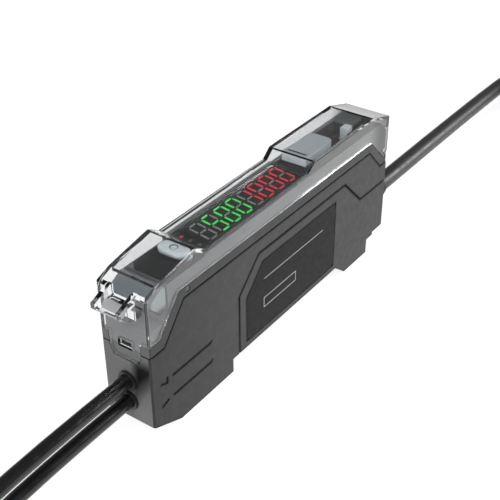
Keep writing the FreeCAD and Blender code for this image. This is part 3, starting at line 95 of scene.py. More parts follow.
def white_room():
    """A dim white room round the lamps."""
    world = bpy.data.worlds.new("room")
    world.use_nodes = True
    backdrop = world.node_tree.nodes["Background"]
    backdrop.inputs["Color"].default_value = (1, 1, 1, 1)
    backdrop.inputs["Strength"].default_value = ROOM_STRENGTH
    scene.world = world


aim_camera()
for lamp_values in LAMPS:
    area_light(*lamp_values)
white_room()
scene.view_settings.view_transform = "Standard"


# ---------------------------------------------------------------- building materials
SOFT_EDGE = 0.03
BUMP_STEP = 0.02
FINE_BUMP_STEP = 0.01


def times(colour, share):
    return tuple(min(1, value * share) for value in colour)


class Shade:
    """A material of procedural nodes, built from short calls."""

    def __init__(self, name):
        self.material = bpy.data.materials.new(name)
        self.material.use_nodes = True
        self.tree = self.material.node_tree
        self.surface = self.tree.nodes["Principled BSDF"]
        self.output = self.tree.nodes["Material Output"]
        self.place = self.node("ShaderNodeTexCoord").outputs["Object"]
        self.flat = self.node("ShaderNodeNewGeometry").outputs["Normal"]
        self.heights = []

    def node(self, kind, **values):
        made = self.tree.nodes.new(kind)
        for name, value in values.items():
            setattr(made, name, value)
        return made

    def join(self, source, target):
        self.tree.links.new(source, target)

    def feed(self, **values):
        """Set inputs of the surface, each by a number, a colour or another node's output."""
        for name, value in values.items():
            socket = self.surface.inputs[name.replace("_", " ")]
            if isinstance(value, bpy.types.NodeSocket):
                self.join(value, socket)
            else:
                socket.default_value = value

    def in_millimetres(self, stretch=(1, 1, 1)):
        """The place on the object in millimetres, for a texture."""
        mapping = self.node("ShaderNodeMapping")
        mapping.inputs["Scale"].default_value = [value / MM for value in stretch]
        self.join(self.place, mapping.inputs["Vector"])
        return mapping.outputs["Vector"]

    def noise(self, scale, detail=2.0, stretch=(1, 1, 1)):
        """Noise with scale features in a millimetre."""
        noise = self.node("ShaderNodeTexNoise")
        noise.inputs["Scale"].default_value = scale
        noise.inputs["Detail"].default_value = detail
        noise.inputs["Roughness"].default_value = 0.5
        self.join(self.in_millimetres(stretch), noise.inputs["Vector"])
        return noise.outputs["Fac"]

    def ramp(self, source, low, high, start=0.3, end=0.7):
        """A value that goes from low to high while its source goes from start to end."""
        spread = self.node("ShaderNodeMapRange")
        spread.inputs["From Min"].default_value = start
        spread.inputs["From Max"].default_value = end
        spread.inputs["To Min"].default_value = low
        spread.inputs["To Max"].default_value = high
        self.join(source, spread.inputs["Value"])
        return spread.outputs["Result"]

    def math(self, kind, first, second=None, clamp=False):
        step = self.node("ShaderNodeMath", operation=kind, use_clamp=clamp)
        for socket, value in zip(step.inputs, (first, second)):
            if value is None:
                continue
            if isinstance(value, (int, float)):
                socket.default_value = value
            else:
                self.join(value, socket)
        return step.outputs[0]

    def above(self, value, limit):
        return self.math("GREATER_THAN", value, limit)

    def below(self, value, limit):
        return self.math("LESS_THAN", value, limit)

    def all_of(self, first, *others):
        """The product of masks."""
        for other in others:
            first = self.math("MULTIPLY", first, other)
        return first

    def mix(self, factor, first, second):
        blend = self.node("ShaderNodeMix", data_type="RGBA")
        for name, value in (("Factor", factor), ("A", first), ("B", second)):
            socket = next(s for s in blend.inputs if s.name == name
                          and s.type == ("VALUE" if name == "Factor" else "RGBA"))
            if isinstance(value, tuple):
                socket.default_value = (*value, 1)
            else:
                self.join(value, socket)
        return next(s for s in blend.outputs if s.type == "RGBA")

    def scaled(self, colour, share):
        step = self.node("ShaderNodeVectorMath", operation="SCALE")
        self.join(colour, step.inputs[0])
        self.join(share, step.inputs["Scale"])
        return step.outputs[0]

    def axis(self, letter):
        """One coordinate on the object, in millimetres."""
        parts = self.node("ShaderNodeSeparateXYZ")
        self.join(self.place, parts.inputs[0])
        return self.math("MULTIPLY", parts.outputs[letter], 1 / MM)

    def facing(self, letter):
        """One component of the face's normal."""
        parts = self.node("ShaderNodeSeparateXYZ")
        self.join(self.flat, parts.inputs[0])
        return parts.outputs[letter]

    def between(self, value, low, high, edge=SOFT_EDGE):
        """1 where a value lies between two others, with a soft edge."""
        above = self.math("DIVIDE", self.math("SUBTRACT", value, low), edge, clamp=True)
        below = self.math("DIVIDE", self.math("SUBTRACT", high, value), edge, clamp=True)
        return self.math("MULTIPLY", above, below)

    def box(self, edge=SOFT_EDGE, **ranges):
        """1 inside a box that is given by its ranges of X, Y or Z."""
        return self.all_of(*(self.between(self.axis(letter), low, high, edge)
                             for letter, (low, high) in ranges.items()))

    def edge_turn(self, radius):
        """How far the normal stays the same within a radius: 1 away from edges."""
        bevel = self.node("ShaderNodeBevel", samples=6)
        bevel.inputs["Radius"].default_value = radius * MM
        turn = self.node("ShaderNodeVectorMath", operation="DOT_PRODUCT")
        self.join(bevel.outputs["Normal"], turn.inputs[0])
        self.join(self.flat, turn.inputs[1])
        return turn.outputs["Value"]

    def bump(self, height, strength, distance=BUMP_STEP):
        self.heights.append((height, strength, distance))

    def finish(self, edge=0.0):
        """Chain the bumps, over edges that are rounded by a bevel's radius."""
        normal = None
        if edge:
            bevel = self.node("ShaderNodeBevel", samples=4)
            bevel.inputs["Radius"].default_value = edge * MM
            normal = bevel.outputs["Normal"]
        for height, strength, distance in self.heights:
            bump = self.node("ShaderNodeBump")
            bump.inputs["Strength"].default_value = strength
            bump.inputs["Distance"].default_value = distance * MM
            self.join(height, bump.inputs["Height"])
            if normal:
                self.join(normal, bump.inputs["Normal"])
            normal = bump.outputs["Normal"]
        if normal:
            self.join(normal, self.surface.inputs["Normal"])
        return self.material


# ---------------------------------------------------------------- moulded plastics
SEAM_REACH = 0.7
SEAM_RANGE = (-35.7, 39.3)
SEAM_FLOOR = 2.6
SHADE_BLACK = (0.003, 0.003, 0.003)
# Painted shade on the broad sides towards the fibre end, and painted light on the end face.
SIDE_PAINTED_SHADE = (-34, -12)
FACE_PAINTED_LIGHT = 3.0
CREVICE_SHADE_REACH = 0.5
EDGE_WEAR_AND_HIGHLIGHT = 2.2


def groove_shade_mask(shade):
    """Where painted shade goes: 1 beside the grooves of the broad sides, and 0 along their outer
    edges.
    """
    return shade.all_of(shade.above(shade.math("ABSOLUTE", shade.facing("Y")), 0.95),
                        shade.box(0.2, X=SEAM_RANGE),
                        shade.above(shade.axis("Z"), SEAM_FLOOR),
                        shade.ramp(shade.edge_turn(SEAM_REACH), 0.97, 0, 0.93, 0.997))


def case_painted_light(shade, face):
    """Painted light on the case: its broad sides are painted darker towards the fibre end, and its
    end face is painted lighter.
    """
    side = shade.ramp(shade.axis("X"), 0.6, 1, *SIDE_PAINTED_SHADE)
    return shade.math("ADD", shade.math("MULTIPLY", face, FACE_PAINTED_LIGHT),
                      shade.math("MULTIPLY", shade.math("SUBTRACT", 1.0, face), side))


def hood_shade(shade, face):
    """Shade of the hood on the fibre end: beside the ports, over a slope and under the beak."""
    y, z = shade.axis("Y"), shade.axis("Z")
    slope = shade.math("ADD", shade.math("SUBTRACT", z, 7.5),
                       shade.math("MULTIPLY", shade.math("ADD", y, 1.8), 1.17))
    roof = shade.math("MULTIPLY", shade.math("SUBTRACT", 16.6, z), 2.0)
    side = shade.math("MULTIPLY", shade.math("SUBTRACT", -0.9, y), 2.6)
    depth = shade.math("MINIMUM", slope, shade.math("MINIMUM", roof, side))
    return shade.math("MULTIPLY", face, shade.ramp(depth, 0, 0.86, -0.7, 3.8))


def worn(shade, colour, spread, edge, wear_and_highlight, painted_light_and_shade):
    """Colour with flow marks, painted shade in the crevices, and edges worn lighter, which also
    paints a highlight on them.

    When asked for, painted shade darkens the grooves that lie on the broad sides and the fibre
    end under the hood, and painted light brightens the case by its faces."""
    flow = shade.noise(0.12, detail=3, stretch=(0.4, 1, 1.5))
    tone = shade.mix(shade.ramp(flow, 0, 1), times(colour, 1 - spread),
                     times(colour, 1 + spread))
    # Edges worn lighter in patches, and a painted highlight along the edges too.
    edge_wear_and_highlight = shade.all_of(shade.ramp(shade.edge_turn(edge), wear_and_highlight, 0, 0.85, 0.995),
                          shade.ramp(shade.noise(0.9, detail=4), 0.4, 1))
    tone = shade.mix(edge_wear_and_highlight, tone, times(colour, EDGE_WEAR_AND_HIGHLIGHT))
    if painted_light_and_shade:
        # Painted shade in the grooves of the broad sides and under the hood, and painted light on
        # the case by its faces.
        face = shade.below(shade.facing("X"), -0.8)
        painted_dark = shade.math("MAXIMUM", groove_shade_mask(shade), hood_shade(shade, face))
        tone = shade.mix(painted_dark, shade.scaled(tone, case_painted_light(shade, face)), SHADE_BLACK)
        # Metal with a black colour takes the shine off the painted shade, so that it reads black.
        shade.feed(Metallic=painted_dark)
    # Painted shade: darker where other surfaces lie close, as in crevices.
    crevice_shade = shade.node("ShaderNodeAmbientOcclusion", samples=6, only_local=False)
    crevice_shade.inputs["Distance"].default_value = CREVICE_SHADE_REACH * MM
    return shade.scaled(tone, shade.ramp(crevice_shade.outputs["AO"], 0.06, 1, 0.45, 0.85))


def moulded(name, colour, roughness, grain=0.25, spread=0.08, edge=0.12, rounding=None,
            specular=0.5, wear_and_highlight=0.35, painted_light_and_shade=False, marks=None):
    """Moulded plastic: fine spark-eroded grain, slight flow marks, painted shade in the crevices,
    and edges worn lighter, which also paints a highlight on them.

    The edges are worn lighter, partly as a painted highlight, within one radius and rounded by
    another, which is the same unless it is given. The marks are a function that paints over the
    colour."""
    shade = Shade(name)
    tone = worn(shade, colour, spread, edge, wear_and_highlight, painted_light_and_shade)
    if marks:
        tone = marks(shade, tone)
    rub = shade.ramp(shade.noise(0.6, detail=4), roughness - 0.06, roughness + 0.08)
    shade.feed(Base_Color=tone, Roughness=rub, Specular_IOR_Level=specular)
    shade.bump(shade.noise(6.0), grain)
    return shade.finish(rounding or edge)


SHELL = (0.12, 0.123, 0.126)
FLUSH_SHELL = (0.032, 0.0325, 0.033)
TOP_PLATE = (0.012, 0.012, 0.013)
CATCH_BLACK = (0.006, 0.006, 0.006)


def bezel():
    """The inner housing: a dark top plate on a lighter shell, dark where it is flush."""
    shade = Shade("bezel")
    x, y = shade.axis("X"), shade.axis("Y")
    plate = shade.all_of(shade.above(shade.facing("Z"), 0.6),
                         shade.box(Y=(-4.4, 3.4)),
                         shade.above(shade.math("SUBTRACT", x, y), -32.6),
                         shade.above(shade.axis("Z"), 27.5))
    flush = shade.above(shade.math("ABSOLUTE", y), 5.0)
    catch = shade.all_of(shade.below(x, -35.3), shade.box(Y=(-1.55, 1.55), Z=(17.7, 19.35)))
    tone = shade.mix(flush, SHELL, FLUSH_SHELL)
    tone = shade.mix(plate, tone, TOP_PLATE)
    tone = shade.mix(catch, tone, CATCH_BLACK)
    shade.feed(Base_Color=shade.scaled(tone, shade.ramp(shade.noise(0.15, detail=3), 0.92, 1.08)),
               Roughness=shade.ramp(shade.noise(0.7, detail=4), 0.38, 0.5),
               Specular_IOR_Level=0.3)
    shade.bump(shade.noise(6.0), 0.2)
    return shade.finish(0.1)


KEY = (0.50, 0.55, 0.57)
ROCKER = (0.34, 0.38, 0.397)
ROCKER_FRONT = (0.56, 0.60, 0.62)
SLOT_BLACK = (0.012, 0.012, 0.013)
DIMPLE_SHADE = (0.08, 0.09, 0.1)
LEVER = (0.15, 0.168, 0.182)
LEVER_BLOCK = (0.262, 0.285, 0.295)
SET_BUTTON_X = -23.05


def rocker_marks(shade, tone):
    """A light front, and shade in the slot along the front edge of the top."""
    tone = shade.mix(shade.below(shade.axis("X"), 13.12), tone, ROCKER_FRONT)
    slot = shade.all_of(shade.box(X=(13.7, 14.28), Y=(-1.75, 2.5)),
                        shade.above(shade.axis("Z"), 29.6))
    return shade.mix(slot, tone, SLOT_BLACK)


def dimple_marks(shade, tone):
    """Shade in the round dimple of the oval button."""
    along = shade.math("POWER", shade.math("SUBTRACT", shade.axis("X"), SET_BUTTON_X), 2.0)
    across = shade.math("POWER", shade.axis("Y"), 2.0)
    radius = shade.math("SQRT", shade.math("ADD", along, across))
    ring = shade.math("MULTIPLY", shade.between(radius, 0.48, 0.86, 0.1), 0.7)
    return shade.mix(ring, tone, DIMPLE_SHADE)


def lever_marks(shade, tone):
    """A lighter block on the lever's sides, which shows through the cover."""
    block = shade.all_of(shade.above(shade.math("ABSOLUTE", shade.facing("Y")), 0.9),
                         shade.box(0.3, X=(-34.6, -30.7)),
                         shade.ramp(shade.axis("Z"), 0, 1, 24.7, 25.4))
    return shade.mix(block, tone, LEVER_BLOCK)


# ---------------------------------------------------------------- other materials
HINGE_RANGE = (33, 37)
HINGE_TINT = 0.4
RIM_HIGHLIGHT = (0.9, 0.9, 0.9)
PAD_GREY = (0.42, 0.42, 0.425)
LAMPLIGHT_THROUGH = 0.85


def frosted_pad(shade):
    """1 on the ribbed thumb pad between the root of the beak and its bar."""
    return shade.all_of(shade.above(shade.facing("Z"), 0.15),
                        shade.box(0.1, X=(-39.2, -37.2)),
                        shade.box(Y=(-2.15, 2.15), Z=(25.5, 27.5)))


def clear(name, tint, roughness=0.015, hood=False):
    """Clear moulded plastic: glass that lets the lamps through, with faint flow ripples.

    The hood is darker at its hinge, where it is thicker. Its edges carry a painted highlight, and
    the thumb pad of its beak is frosted."""
    shade = Shade(name)
    flow = shade.noise(0.25, stretch=(0.5, 1, 1))
    tone = shade.mix(shade.ramp(flow, 0, 1), times(tint, 0.985), tint)
    rough = shade.ramp(shade.noise(1.5, detail=4), roughness, roughness + 0.03)
    see_through = 1.0
    if hood:
        # Painted highlight along the hood's edges, which are less clear there.
        rim = shade.ramp(shade.edge_turn(0.12), 0.38, 0, 0.78, 0.97)
        pad = frosted_pad(shade)
        tone = shade.mix(shade.ramp(shade.axis("X"), 0, 1, *HINGE_RANGE), tone,
                         times(tint, HINGE_TINT))
        tone = shade.mix(rim, tone, RIM_HIGHLIGHT)
        tone = shade.mix(pad, tone, PAD_GREY)
        solid = shade.math("MAXIMUM", rim, shade.math("MULTIPLY", pad, 0.9))
        see_through = shade.math("SUBTRACT", 1.0, solid)
        rough = shade.math("MAXIMUM", rough, shade.math("MULTIPLY", pad, 0.5))
    shade.feed(Base_Color=tone, Roughness=rough, IOR=1.5, Transmission_Weight=see_through)
    shade.bump(shade.noise(0.35, detail=1), 0.12)
    material = shade.finish()
    through = shade.node("ShaderNodeBsdfTransparent")
    through.inputs["Color"].default_value = (*times(tint, LAMPLIGHT_THROUGH), 1)
    both = shade.node("ShaderNodeMixShader")
    shade.join(shade.node("ShaderNodeLightPath").outputs["Is Shadow Ray"], both.inputs[0])
    shade.join(shade.surface.outputs[0], both.inputs[1])
    shade.join(through.outputs[0], both.inputs[2])
    shade.join(both.outputs[0], shade.output.inputs["Surface"])
    return material


def metal(name, colour, roughness):
    """Turned and plated metal with fine brushing round its axis."""
    shade = Shade(name)
    rub = shade.noise(2.0, detail=4, stretch=(6, 1, 1))
    shade.feed(Base_Color=shade.mix(shade.ramp(rub, 0, 1), times(colour, 0.85), colour),
               Roughness=shade.ramp(rub, roughness - 0.05, roughness + 0.12),
               Metallic=1.0)
    shade.bump(rub, 0.15, FINE_BUMP_STEP)
    return shade.finish(0.05)


def board_material():
    """Printed board: solder mask over a faint track pattern."""
    shade = Shade("board")
    cells = shade.node("ShaderNodeTexVoronoi", feature="DISTANCE_TO_EDGE")
    cells.inputs["Scale"].default_value = 0.6
    shade.join(shade.in_millimetres(), cells.inputs["Vector"])
    track = shade.ramp(cells.outputs["Distance"], 0, 1, 0.05, 0.09)
    shade.feed(Base_Color=shade.mix(track, (0.06, 0.2, 0.08), (0.015, 0.09, 0.04)),
               Roughness=shade.ramp(shade.noise(1.0), 0.3, 0.42))
    shade.bump(track, 0.3)
    return shade.finish()


LABEL_BLACK = (0.006, 0.006, 0.006)
LABEL_GREY = (0.009, 0.009, 0.009)
PRINT = (0.55, 0.55, 0.55)


def label_material():
    """Dark label foil, with a plain printed rule and a plain printed frame."""
    shade = Shade("label")
    tone = shade.mix(shade.ramp(shade.noise(0.3, detail=3), 0, 1), LABEL_BLACK, LABEL_GREY)
    rule = shade.box(X=(-4.6, 15.4), Z=(15.0, 15.18))
    outer = shade.box(X=(-4.75, 5.95), Z=(8.65, 10.9))
    inner = shade.box(X=(-4.59, 5.79), Z=(8.81, 10.74))
    printed = shade.math("ADD", rule, shade.math("SUBTRACT", outer, inner), clamp=True)
    ink = shade.math("MULTIPLY", printed, shade.ramp(shade.noise(3.0), 0.8, 1))
    shade.feed(Base_Color=shade.mix(ink, tone, PRINT),
               Roughness=shade.ramp(shade.noise(0.8, detail=4), 0.42, 0.52),
               Specular_IOR_Level=0.12)
    shade.bump(shade.noise(5.0), 0.12, FINE_BUMP_STEP)
    return shade.finish(0.05)


def sheath(name, colour, roughness, along=0.25):
    """Extruded plastic sheath: faint lines along it and a soft sheen."""
    shade = Shade(name)
    rub = shade.ramp(shade.noise(1.2, detail=3), 0, 1)
    shade.feed(Base_Color=shade.mix(rub, times(colour, 0.85), times(colour, 1.15)),
               Roughness=shade.ramp(shade.noise(0.5, detail=4), roughness - 0.05,
                                    roughness + 0.1))
    shade.bump(shade.noise(5.0, stretch=(along, 1, 1)), 0.2)
    return shade.finish()


def glow(name, colour, strength):
    """A segment with its own light, a little uneven; on the unlit bars it is a faint painted glow.
    """
    shade = Shade(name)
    tone = shade.mix(shade.ramp(shade.noise(1.5), 0, 1), times(colour, 0.88), colour)
    shade.feed(Base_Color=tone, Emission_Color=tone, Emission_Strength=strength, Roughness=0.4)
    return shade.finish()


def paint(material, *names):
    for name in names:
        for slot in nodes[name].material_slots:
            slot.material = material


paint(moulded("case", (0.048, 0.0485, 0.049), 0.5, specular=0.25, painted_light_and_shade=True),
      "lower_case", "side_cover")
paint(bezel(), "upper_case")
paint(label_material(), "label_plate")
paint(clear("clear_cover", (0.885, 0.892, 0.897), hood=True), "dust_cover")
paint(clear("smoked_window", (0.72, 0.75, 0.74), 0.01), "display_window")
paint(moulded("key", KEY, 0.42, grain=0.1, spread=0.04, edge=0.2), "selector_knob")
paint(moulded("oval_key", KEY, 0.42, grain=0.1, spread=0.04, edge=0.2, rounding=0.25, wear_and_highlight=0.5,
              marks=dimple_marks), "set_button")
paint(moulded("rocker", ROCKER, 0.42, grain=0.1, spread=0.04, edge=0.25, rounding=0.2, wear_and_highlight=0.6,
              marks=rocker_marks), "rocker_key")
paint(moulded("lever", LEVER, 0.40, grain=0.1, spread=0.05, edge=0.15, marks=lever_marks),
      "lock_lever")
paint(moulded("dark_key", (0.07, 0.075, 0.078), 0.4, grain=0.1), "mode_button")
paint(moulded("black_plastic", (0.014, 0.014, 0.015), 0.4, grain=0.15, edge=0.08),
      "transmit_bushing", "receive_bushing", "fibre_holder", "clamp_slider", "link_plug",
      "green_display", "red_display", "controller_chip")
paint(moulded("rubber", (0.02, 0.02, 0.021), 0.6, grain=0.3), "cable_boot")
paint(moulded("switch", (0.55, 0.55, 0.53), 0.45), "set_switch", "rocker_switches",
      "selector_switch", "mode_switch", "terminal_block")
paint(board_material(), "main_board", "display_board")
paint(metal("steel", (0.62, 0.62, 0.63), 0.28), "hinge_pin", "lever_pin", "preamp_shield")
dark_steel = metal("dark_steel", (0.16, 0.16, 0.165), 0.5)
tin = metal("tin", (0.66, 0.66, 0.67), 0.3)
nickel = metal("nickel", (0.70, 0.66, 0.60), 0.22)
paint(nickel, "head_nuts")
nylon = moulded("nylon", (0.015, 0.015, 0.016), 0.35, grain=0.1, edge=0.1)
lens_clear = clear("lens", (0.9, 0.92, 0.95), 0.02)
paint(lens_clear, "emitter_led", "photodiode")
fibre_sheath = sheath("fibre_sheath", (0.009, 0.009, 0.010), 0.2)
paint(fibre_sheath, "transmit_fibre_end", "receive_fibre_end")
cable_sheath = sheath("cable_sheath", (0.032, 0.032, 0.034), 0.4)
paint(cable_sheath, "cable_sheath_end")


# ---------------------------------------------------------------- leads
FIBRE = 2.6
CABLE = 3.8
PORT_X = -36.85
RECEIVE_LEVEL = 6.8
TRANSMIT_LEVEL = 11.05
BOOT_X = 46.95
CABLE_LEVEL = 8.6

# Near fold, far fold and middle line of each hank.
FIBRE_HANK = (-83.0, -125.0, -13.0)
CABLE_HANK = (143.0, 200.0, -12.0)
FIBRE_RADII = (7.8, 10.4, 13.0)
CABLE_RADII = (11.4, 15.2)

# Column and layer of each turn.
FIBRE_CELLS = [(2, 0), (2, 1), (1, 1), (1, 0), (0, 0), (0, 1)]
CABLE_CELLS = [(1, 0), (0, 0), (0, 1), (1, 1), (1, 2), (0, 2), (0, 3), (1, 3), (1, 4), (0, 4)]
ARC_POINTS = 6

HEAD_ROOT = -111.0
RECEIVE_HEAD = (-12.4, 3.5)
TRANSMIT_HEAD = (-2.6, 13.9)
CABLE_END = (172.0, -25.3, 20.9)


def hank_points(near, far, middle, cells, radii, diameter, base, last_arcs):
    """The turns of a hank as control points: six round each fold and two on each long run.

    The first run has one point, and the last turn may end after its far fold."""
    points = []
    step = math.pi / ARC_POINTS
    places = [(radii[column], base + diameter * (layer + 0.5)) for column, layer in cells]
    radius_before, level_before = places[0]

    def along(share):
        return near + (far - near) * share

    def fold(centre, way, radius, level):
        """Half a turn, bulging away from the hank."""
        ahead = way if far > near else -way
        out = radius / math.cos(step / 2)
        for k in range(ARC_POINTS):
            angle = step * (k + 0.5)
            points.append((centre + ahead * out * math.sin(angle),
                           middle + way * out * math.cos(angle), level))

    for turn, (radius, level) in enumerate(places):
        for share in (0.25, 0.75) if turn else (0.5,):
            points.append((along(share),
                           middle + radius_before + (radius - radius_before) * share,
                           level_before + (level - level_before) * share))
        fold(far, 1, radius, level)
        if turn == len(places) - 1 and last_arcs == 1:
            break
        for share in (0.75, 0.25):
            points.append((along(share), middle - radius, level))
        fold(near, -1, radius, level)
        radius_before, level_before = radius, level
    return points


def lead(name, before, turns, after, diameter, material):
    """A lead as one smooth curve through its route, its folded length and its end."""
    places = [*before, *turns, *after]
    curve = bpy.data.curves.new(name, "CURVE")
    curve.dimensions = "3D"
    curve.bevel_depth = diameter / 2 * MM
    curve.bevel_resolution = 6
    curve.resolution_u = 6
    curve.use_fill_caps = True
    spline = curve.splines.new("NURBS")
    spline.points.add(len(places) - 1)
    for spot, place in zip(spline.points, places):
        spot.co = (*(value * MM for value in place), 1)
    spline.order_u = 3
    spline.use_endpoint_u = True
    curve.materials.append(material)
    return new_object(name, curve)


receive = lead(
    "receive_lead",
    [(PORT_X, 0, RECEIVE_LEVEL), (-69, 0, RECEIVE_LEVEL), (-80, 0, 1.3)],
    hank_points(*FIBRE_HANK, FIBRE_CELLS, FIBRE_RADII, FIBRE, 0, 2),
    [(-87, -5.6, 3.6), (-99, -10.6, 2.8), (HEAD_ROOT, *RECEIVE_HEAD)], FIBRE, fibre_sheath)
transmit = lead(
    "transmit_lead",
    [(PORT_X, 0, TRANSMIT_LEVEL), (-69, 0, TRANSMIT_LEVEL), (-80, 0, 6.7)],
    hank_points(*FIBRE_HANK, FIBRE_CELLS, FIBRE_RADII, FIBRE, 2 * FIBRE, 2),
    [(-87, -4.9, 9.6), (-99, -3.2, 13.4), (HEAD_ROOT, *TRANSMIT_HEAD)], FIBRE, fibre_sheath)
cable = lead(
    "cable",
    [(BOOT_X, 0, CABLE_LEVEL), (119, 0, CABLE_LEVEL), (132, 2.2, 2.9), (139, 3.1, 2.0)],
    hank_points(*CABLE_HANK, CABLE_CELLS, CABLE_RADII, CABLE, 0, 1),
    [(196, -23.8, 17.8), (184, -24.9, 20.6), CABLE_END], CABLE, cable_sheath)

for piece, name in ((receive, "receive"), (transmit, "transmit")):
    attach(piece, "amplifier")
    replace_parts(piece, f"{name}_fibre", f"{name}_hank", f"{name}_tail")
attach(cable, "amplifier")
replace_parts(cable, "cable_lead", "cable_hank", "cable_tail")


# ---------------------------------------------------------------- meshes
def circle(radius, sides):
    """Corners of a circle as pairs."""
    return [(radius * math.cos(2 * math.pi * k / sides), radius * math.sin(2 * math.pi * k / sides))
            for k in range(sides)]


def skin(shape, rings, closed=False):
    """Skin rows of corners, with flat ends or closed on themselves."""
    rows = [[shape.verts.new([value * MM for value in place]) for place in ring]
            for ring in rings]
    pairs = list(zip(rows, rows[1:]))
    if closed:
        pairs.append((rows[-1], rows[0]))
    count = len(rows[0])
    for low, high in pairs:
        for k in range(count):
            shape.faces.new((low[k], low[(k + 1) % count], high[(k + 1) % count], high[k]))
    if not closed:
        shape.faces.new(rows[0][::-1])
        shape.faces.new(rows[-1])


def mesh_piece(name, shape, material, smooth=False):
    """Turn a bmesh into a piece with outward faces that rides on the amplifier."""
    bmesh.ops.recalc_face_normals(shape, faces=shape.faces)
    mesh = bpy.data.meshes.new(name)
    shape.to_mesh(mesh)
    shape.free()
    mesh.materials.append(material)
    for face in mesh.polygons:
        face.use_smooth = smooth
    piece = new_object(name, mesh)
    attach(piece, "amplifier")
    return piece


# ---------------------------------------------------------------- fibre heads
HEAD_RADIUS = 2.0
HEAD_TIP = -127.0
HEAD_SHOULDER = -115.0
HEAD_SIDES = 40
THREAD_PITCH = 0.7
THREAD_DEPTH = 0.26
THREAD_STEPS = 8
THREAD_FADE = 0.6
SLEEVE_RADIUS = 1.7
CRIMP_DEPTH = 0.09
CRIMP_RANGE = (0.8, 3.2)


def fibre_head(name, y, z):
    """Threaded tip of a fibre, hollow for its polished core, with its crimped sleeve."""

    def ring(x, radius):
        corners = []
        for k in range(HEAD_SIDES):
            angle = 2 * math.pi * k / HEAD_SIDES
            reach = radius(angle, x)
            corners.append((x, y + reach * math.cos(angle), z + reach * math.sin(angle)))
        return corners

    def thread(angle, x):
        phase = (x / THREAD_PITCH - angle / (2 * math.pi)) % 1
        fade = min(1, (x - HEAD_TIP - 0.3) / THREAD_FADE, (HEAD_SHOULDER - 0.4 - x) / THREAD_FADE)
        return HEAD_RADIUS - THREAD_DEPTH * (abs(2 * phase - 1) * fade + 1 - fade)

    def crimp(angle, x):
        pressed = CRIMP_RANGE[0] < x - HEAD_SHOULDER < CRIMP_RANGE[1]
        return SLEEVE_RADIUS - CRIMP_DEPTH * abs(math.cos(6 * angle)) * pressed

    rings = [ring(HEAD_TIP + 0.25, lambda angle, x: 0.5), ring(HEAD_TIP, lambda angle, x: 0.55),
             ring(HEAD_TIP, lambda angle, x: 1.5)]
    count = round((HEAD_SHOULDER - HEAD_TIP - 0.7) / THREAD_PITCH * THREAD_STEPS)
    rings += [ring(HEAD_TIP + 0.3 + k * THREAD_PITCH / THREAD_STEPS, thread)
              for k in range(count)]
    rings += [ring(HEAD_SHOULDER + shift, crimp)
              for shift in (0, 0.7, 0.9, 1.6, 2.4, 3.1, 3.3, 3.8)]
    rings.append(ring(HEAD_ROOT, lambda angle, x: 1.55))
    shape = bmesh.new()
    skin(shape, rings)
    return mesh_piece(name, shape, nickel)


def fibre_tips(places):
    """The polished end of each fibre core, a low dome in the end face of its head."""
    shape = bmesh.new()
    for y, z in places:
        skin(shape, [[(HEAD_TIP + rise, y + u, z + v) for u, v in circle(radius, 16)]
                     for rise, radius in ((0.24, 0.5), (0.1, 0.5), (0.03, 0.4), (0.0, 0.2),
                                          (0.0, 0.05))])
    return mesh_piece("fibre_tips", shape, lens_clear, smooth=True)


# ---------------------------------------------------------------- cable cores
CORE_RADIUS = 0.55
CORE_SHARE = 0.78
CORE_BOW = 0.25
CORE_COLOURS = {"brown": (0.10, 0.035, 0.012), "black": (0.012, 0.012, 0.013),
                "blue": (0.012, 0.06, 0.30)}
CORE_TIPS_X = 153.0
CORE_TIPS_LEVEL = 19.6
CORE_FAN = 2.8


def core_rings(start, end, low, high, radius, sides=16, count=24):
    """Rings of a bare core between two shares of its length; it bows a little on its way."""
    start, end = Vector(start), Vector(end)
    along = (end - start).normalized()
    across = along.cross(Vector((0, 0, 1))).normalized()
    up = across.cross(along)
    rings = []
    for step in range(count + 1):
        share = low + (high - low) * step / count
        centre = start + (end - start) * share + up * CORE_BOW * math.sin(math.pi * share)
        ring = []
        for k in range(sides):
            angle = 2 * math.pi * k / sides
            reach = radius(angle, share)
            ring.append(centre + across * reach * math.cos(angle) + up * reach * math.sin(angle))
        rings.append(ring)
    return rings


def twisted(angle, share):
    """Radius of a tinned end, with the strands that wind round it."""
    return 0.33 + 0.05 * abs(math.cos(3.5 * angle - 40 * share))


def cores():
    """Three insulated cores that leave the sheath, with twisted and tinned ends."""
    ends = bmesh.new()
    pieces = []
    x, y, z = CABLE_END
    for (colour, value), way in zip(CORE_COLOURS.items(), (-1, 0, 1)):
        start = (x, y + way, z)
        end = (CORE_TIPS_X, y + way * CORE_FAN, CORE_TIPS_LEVEL)
        shape = bmesh.new()
        skin(shape, core_rings(start, end, 0, CORE_SHARE, lambda angle, share: CORE_RADIUS))
        skin(ends, core_rings(start, end, CORE_SHARE - 0.01, 1, twisted, sides=28, count=30))
        pieces.append(mesh_piece(f"core_{colour}", shape, sheath(f"core_{colour}", value, 0.35),
                                 smooth=True))
    pieces.append(mesh_piece("core_ends", ends, tin, smooth=True))
    return pieces


# ---------------------------------------------------------------- ties
STRAP = 0.55
STRAP_CORNER = 1.4
CORNER_STEPS = 6
LOCK_LENGTH = 3.2
LOCK_HEIGHT = 2.4
LOCK_CUT = 0.4
TAIL_START = (1.2, 0.9)
TAIL_REACH = 3.0
TAIL_RISE = 1.2
TAIL_THICKNESS = 0.7


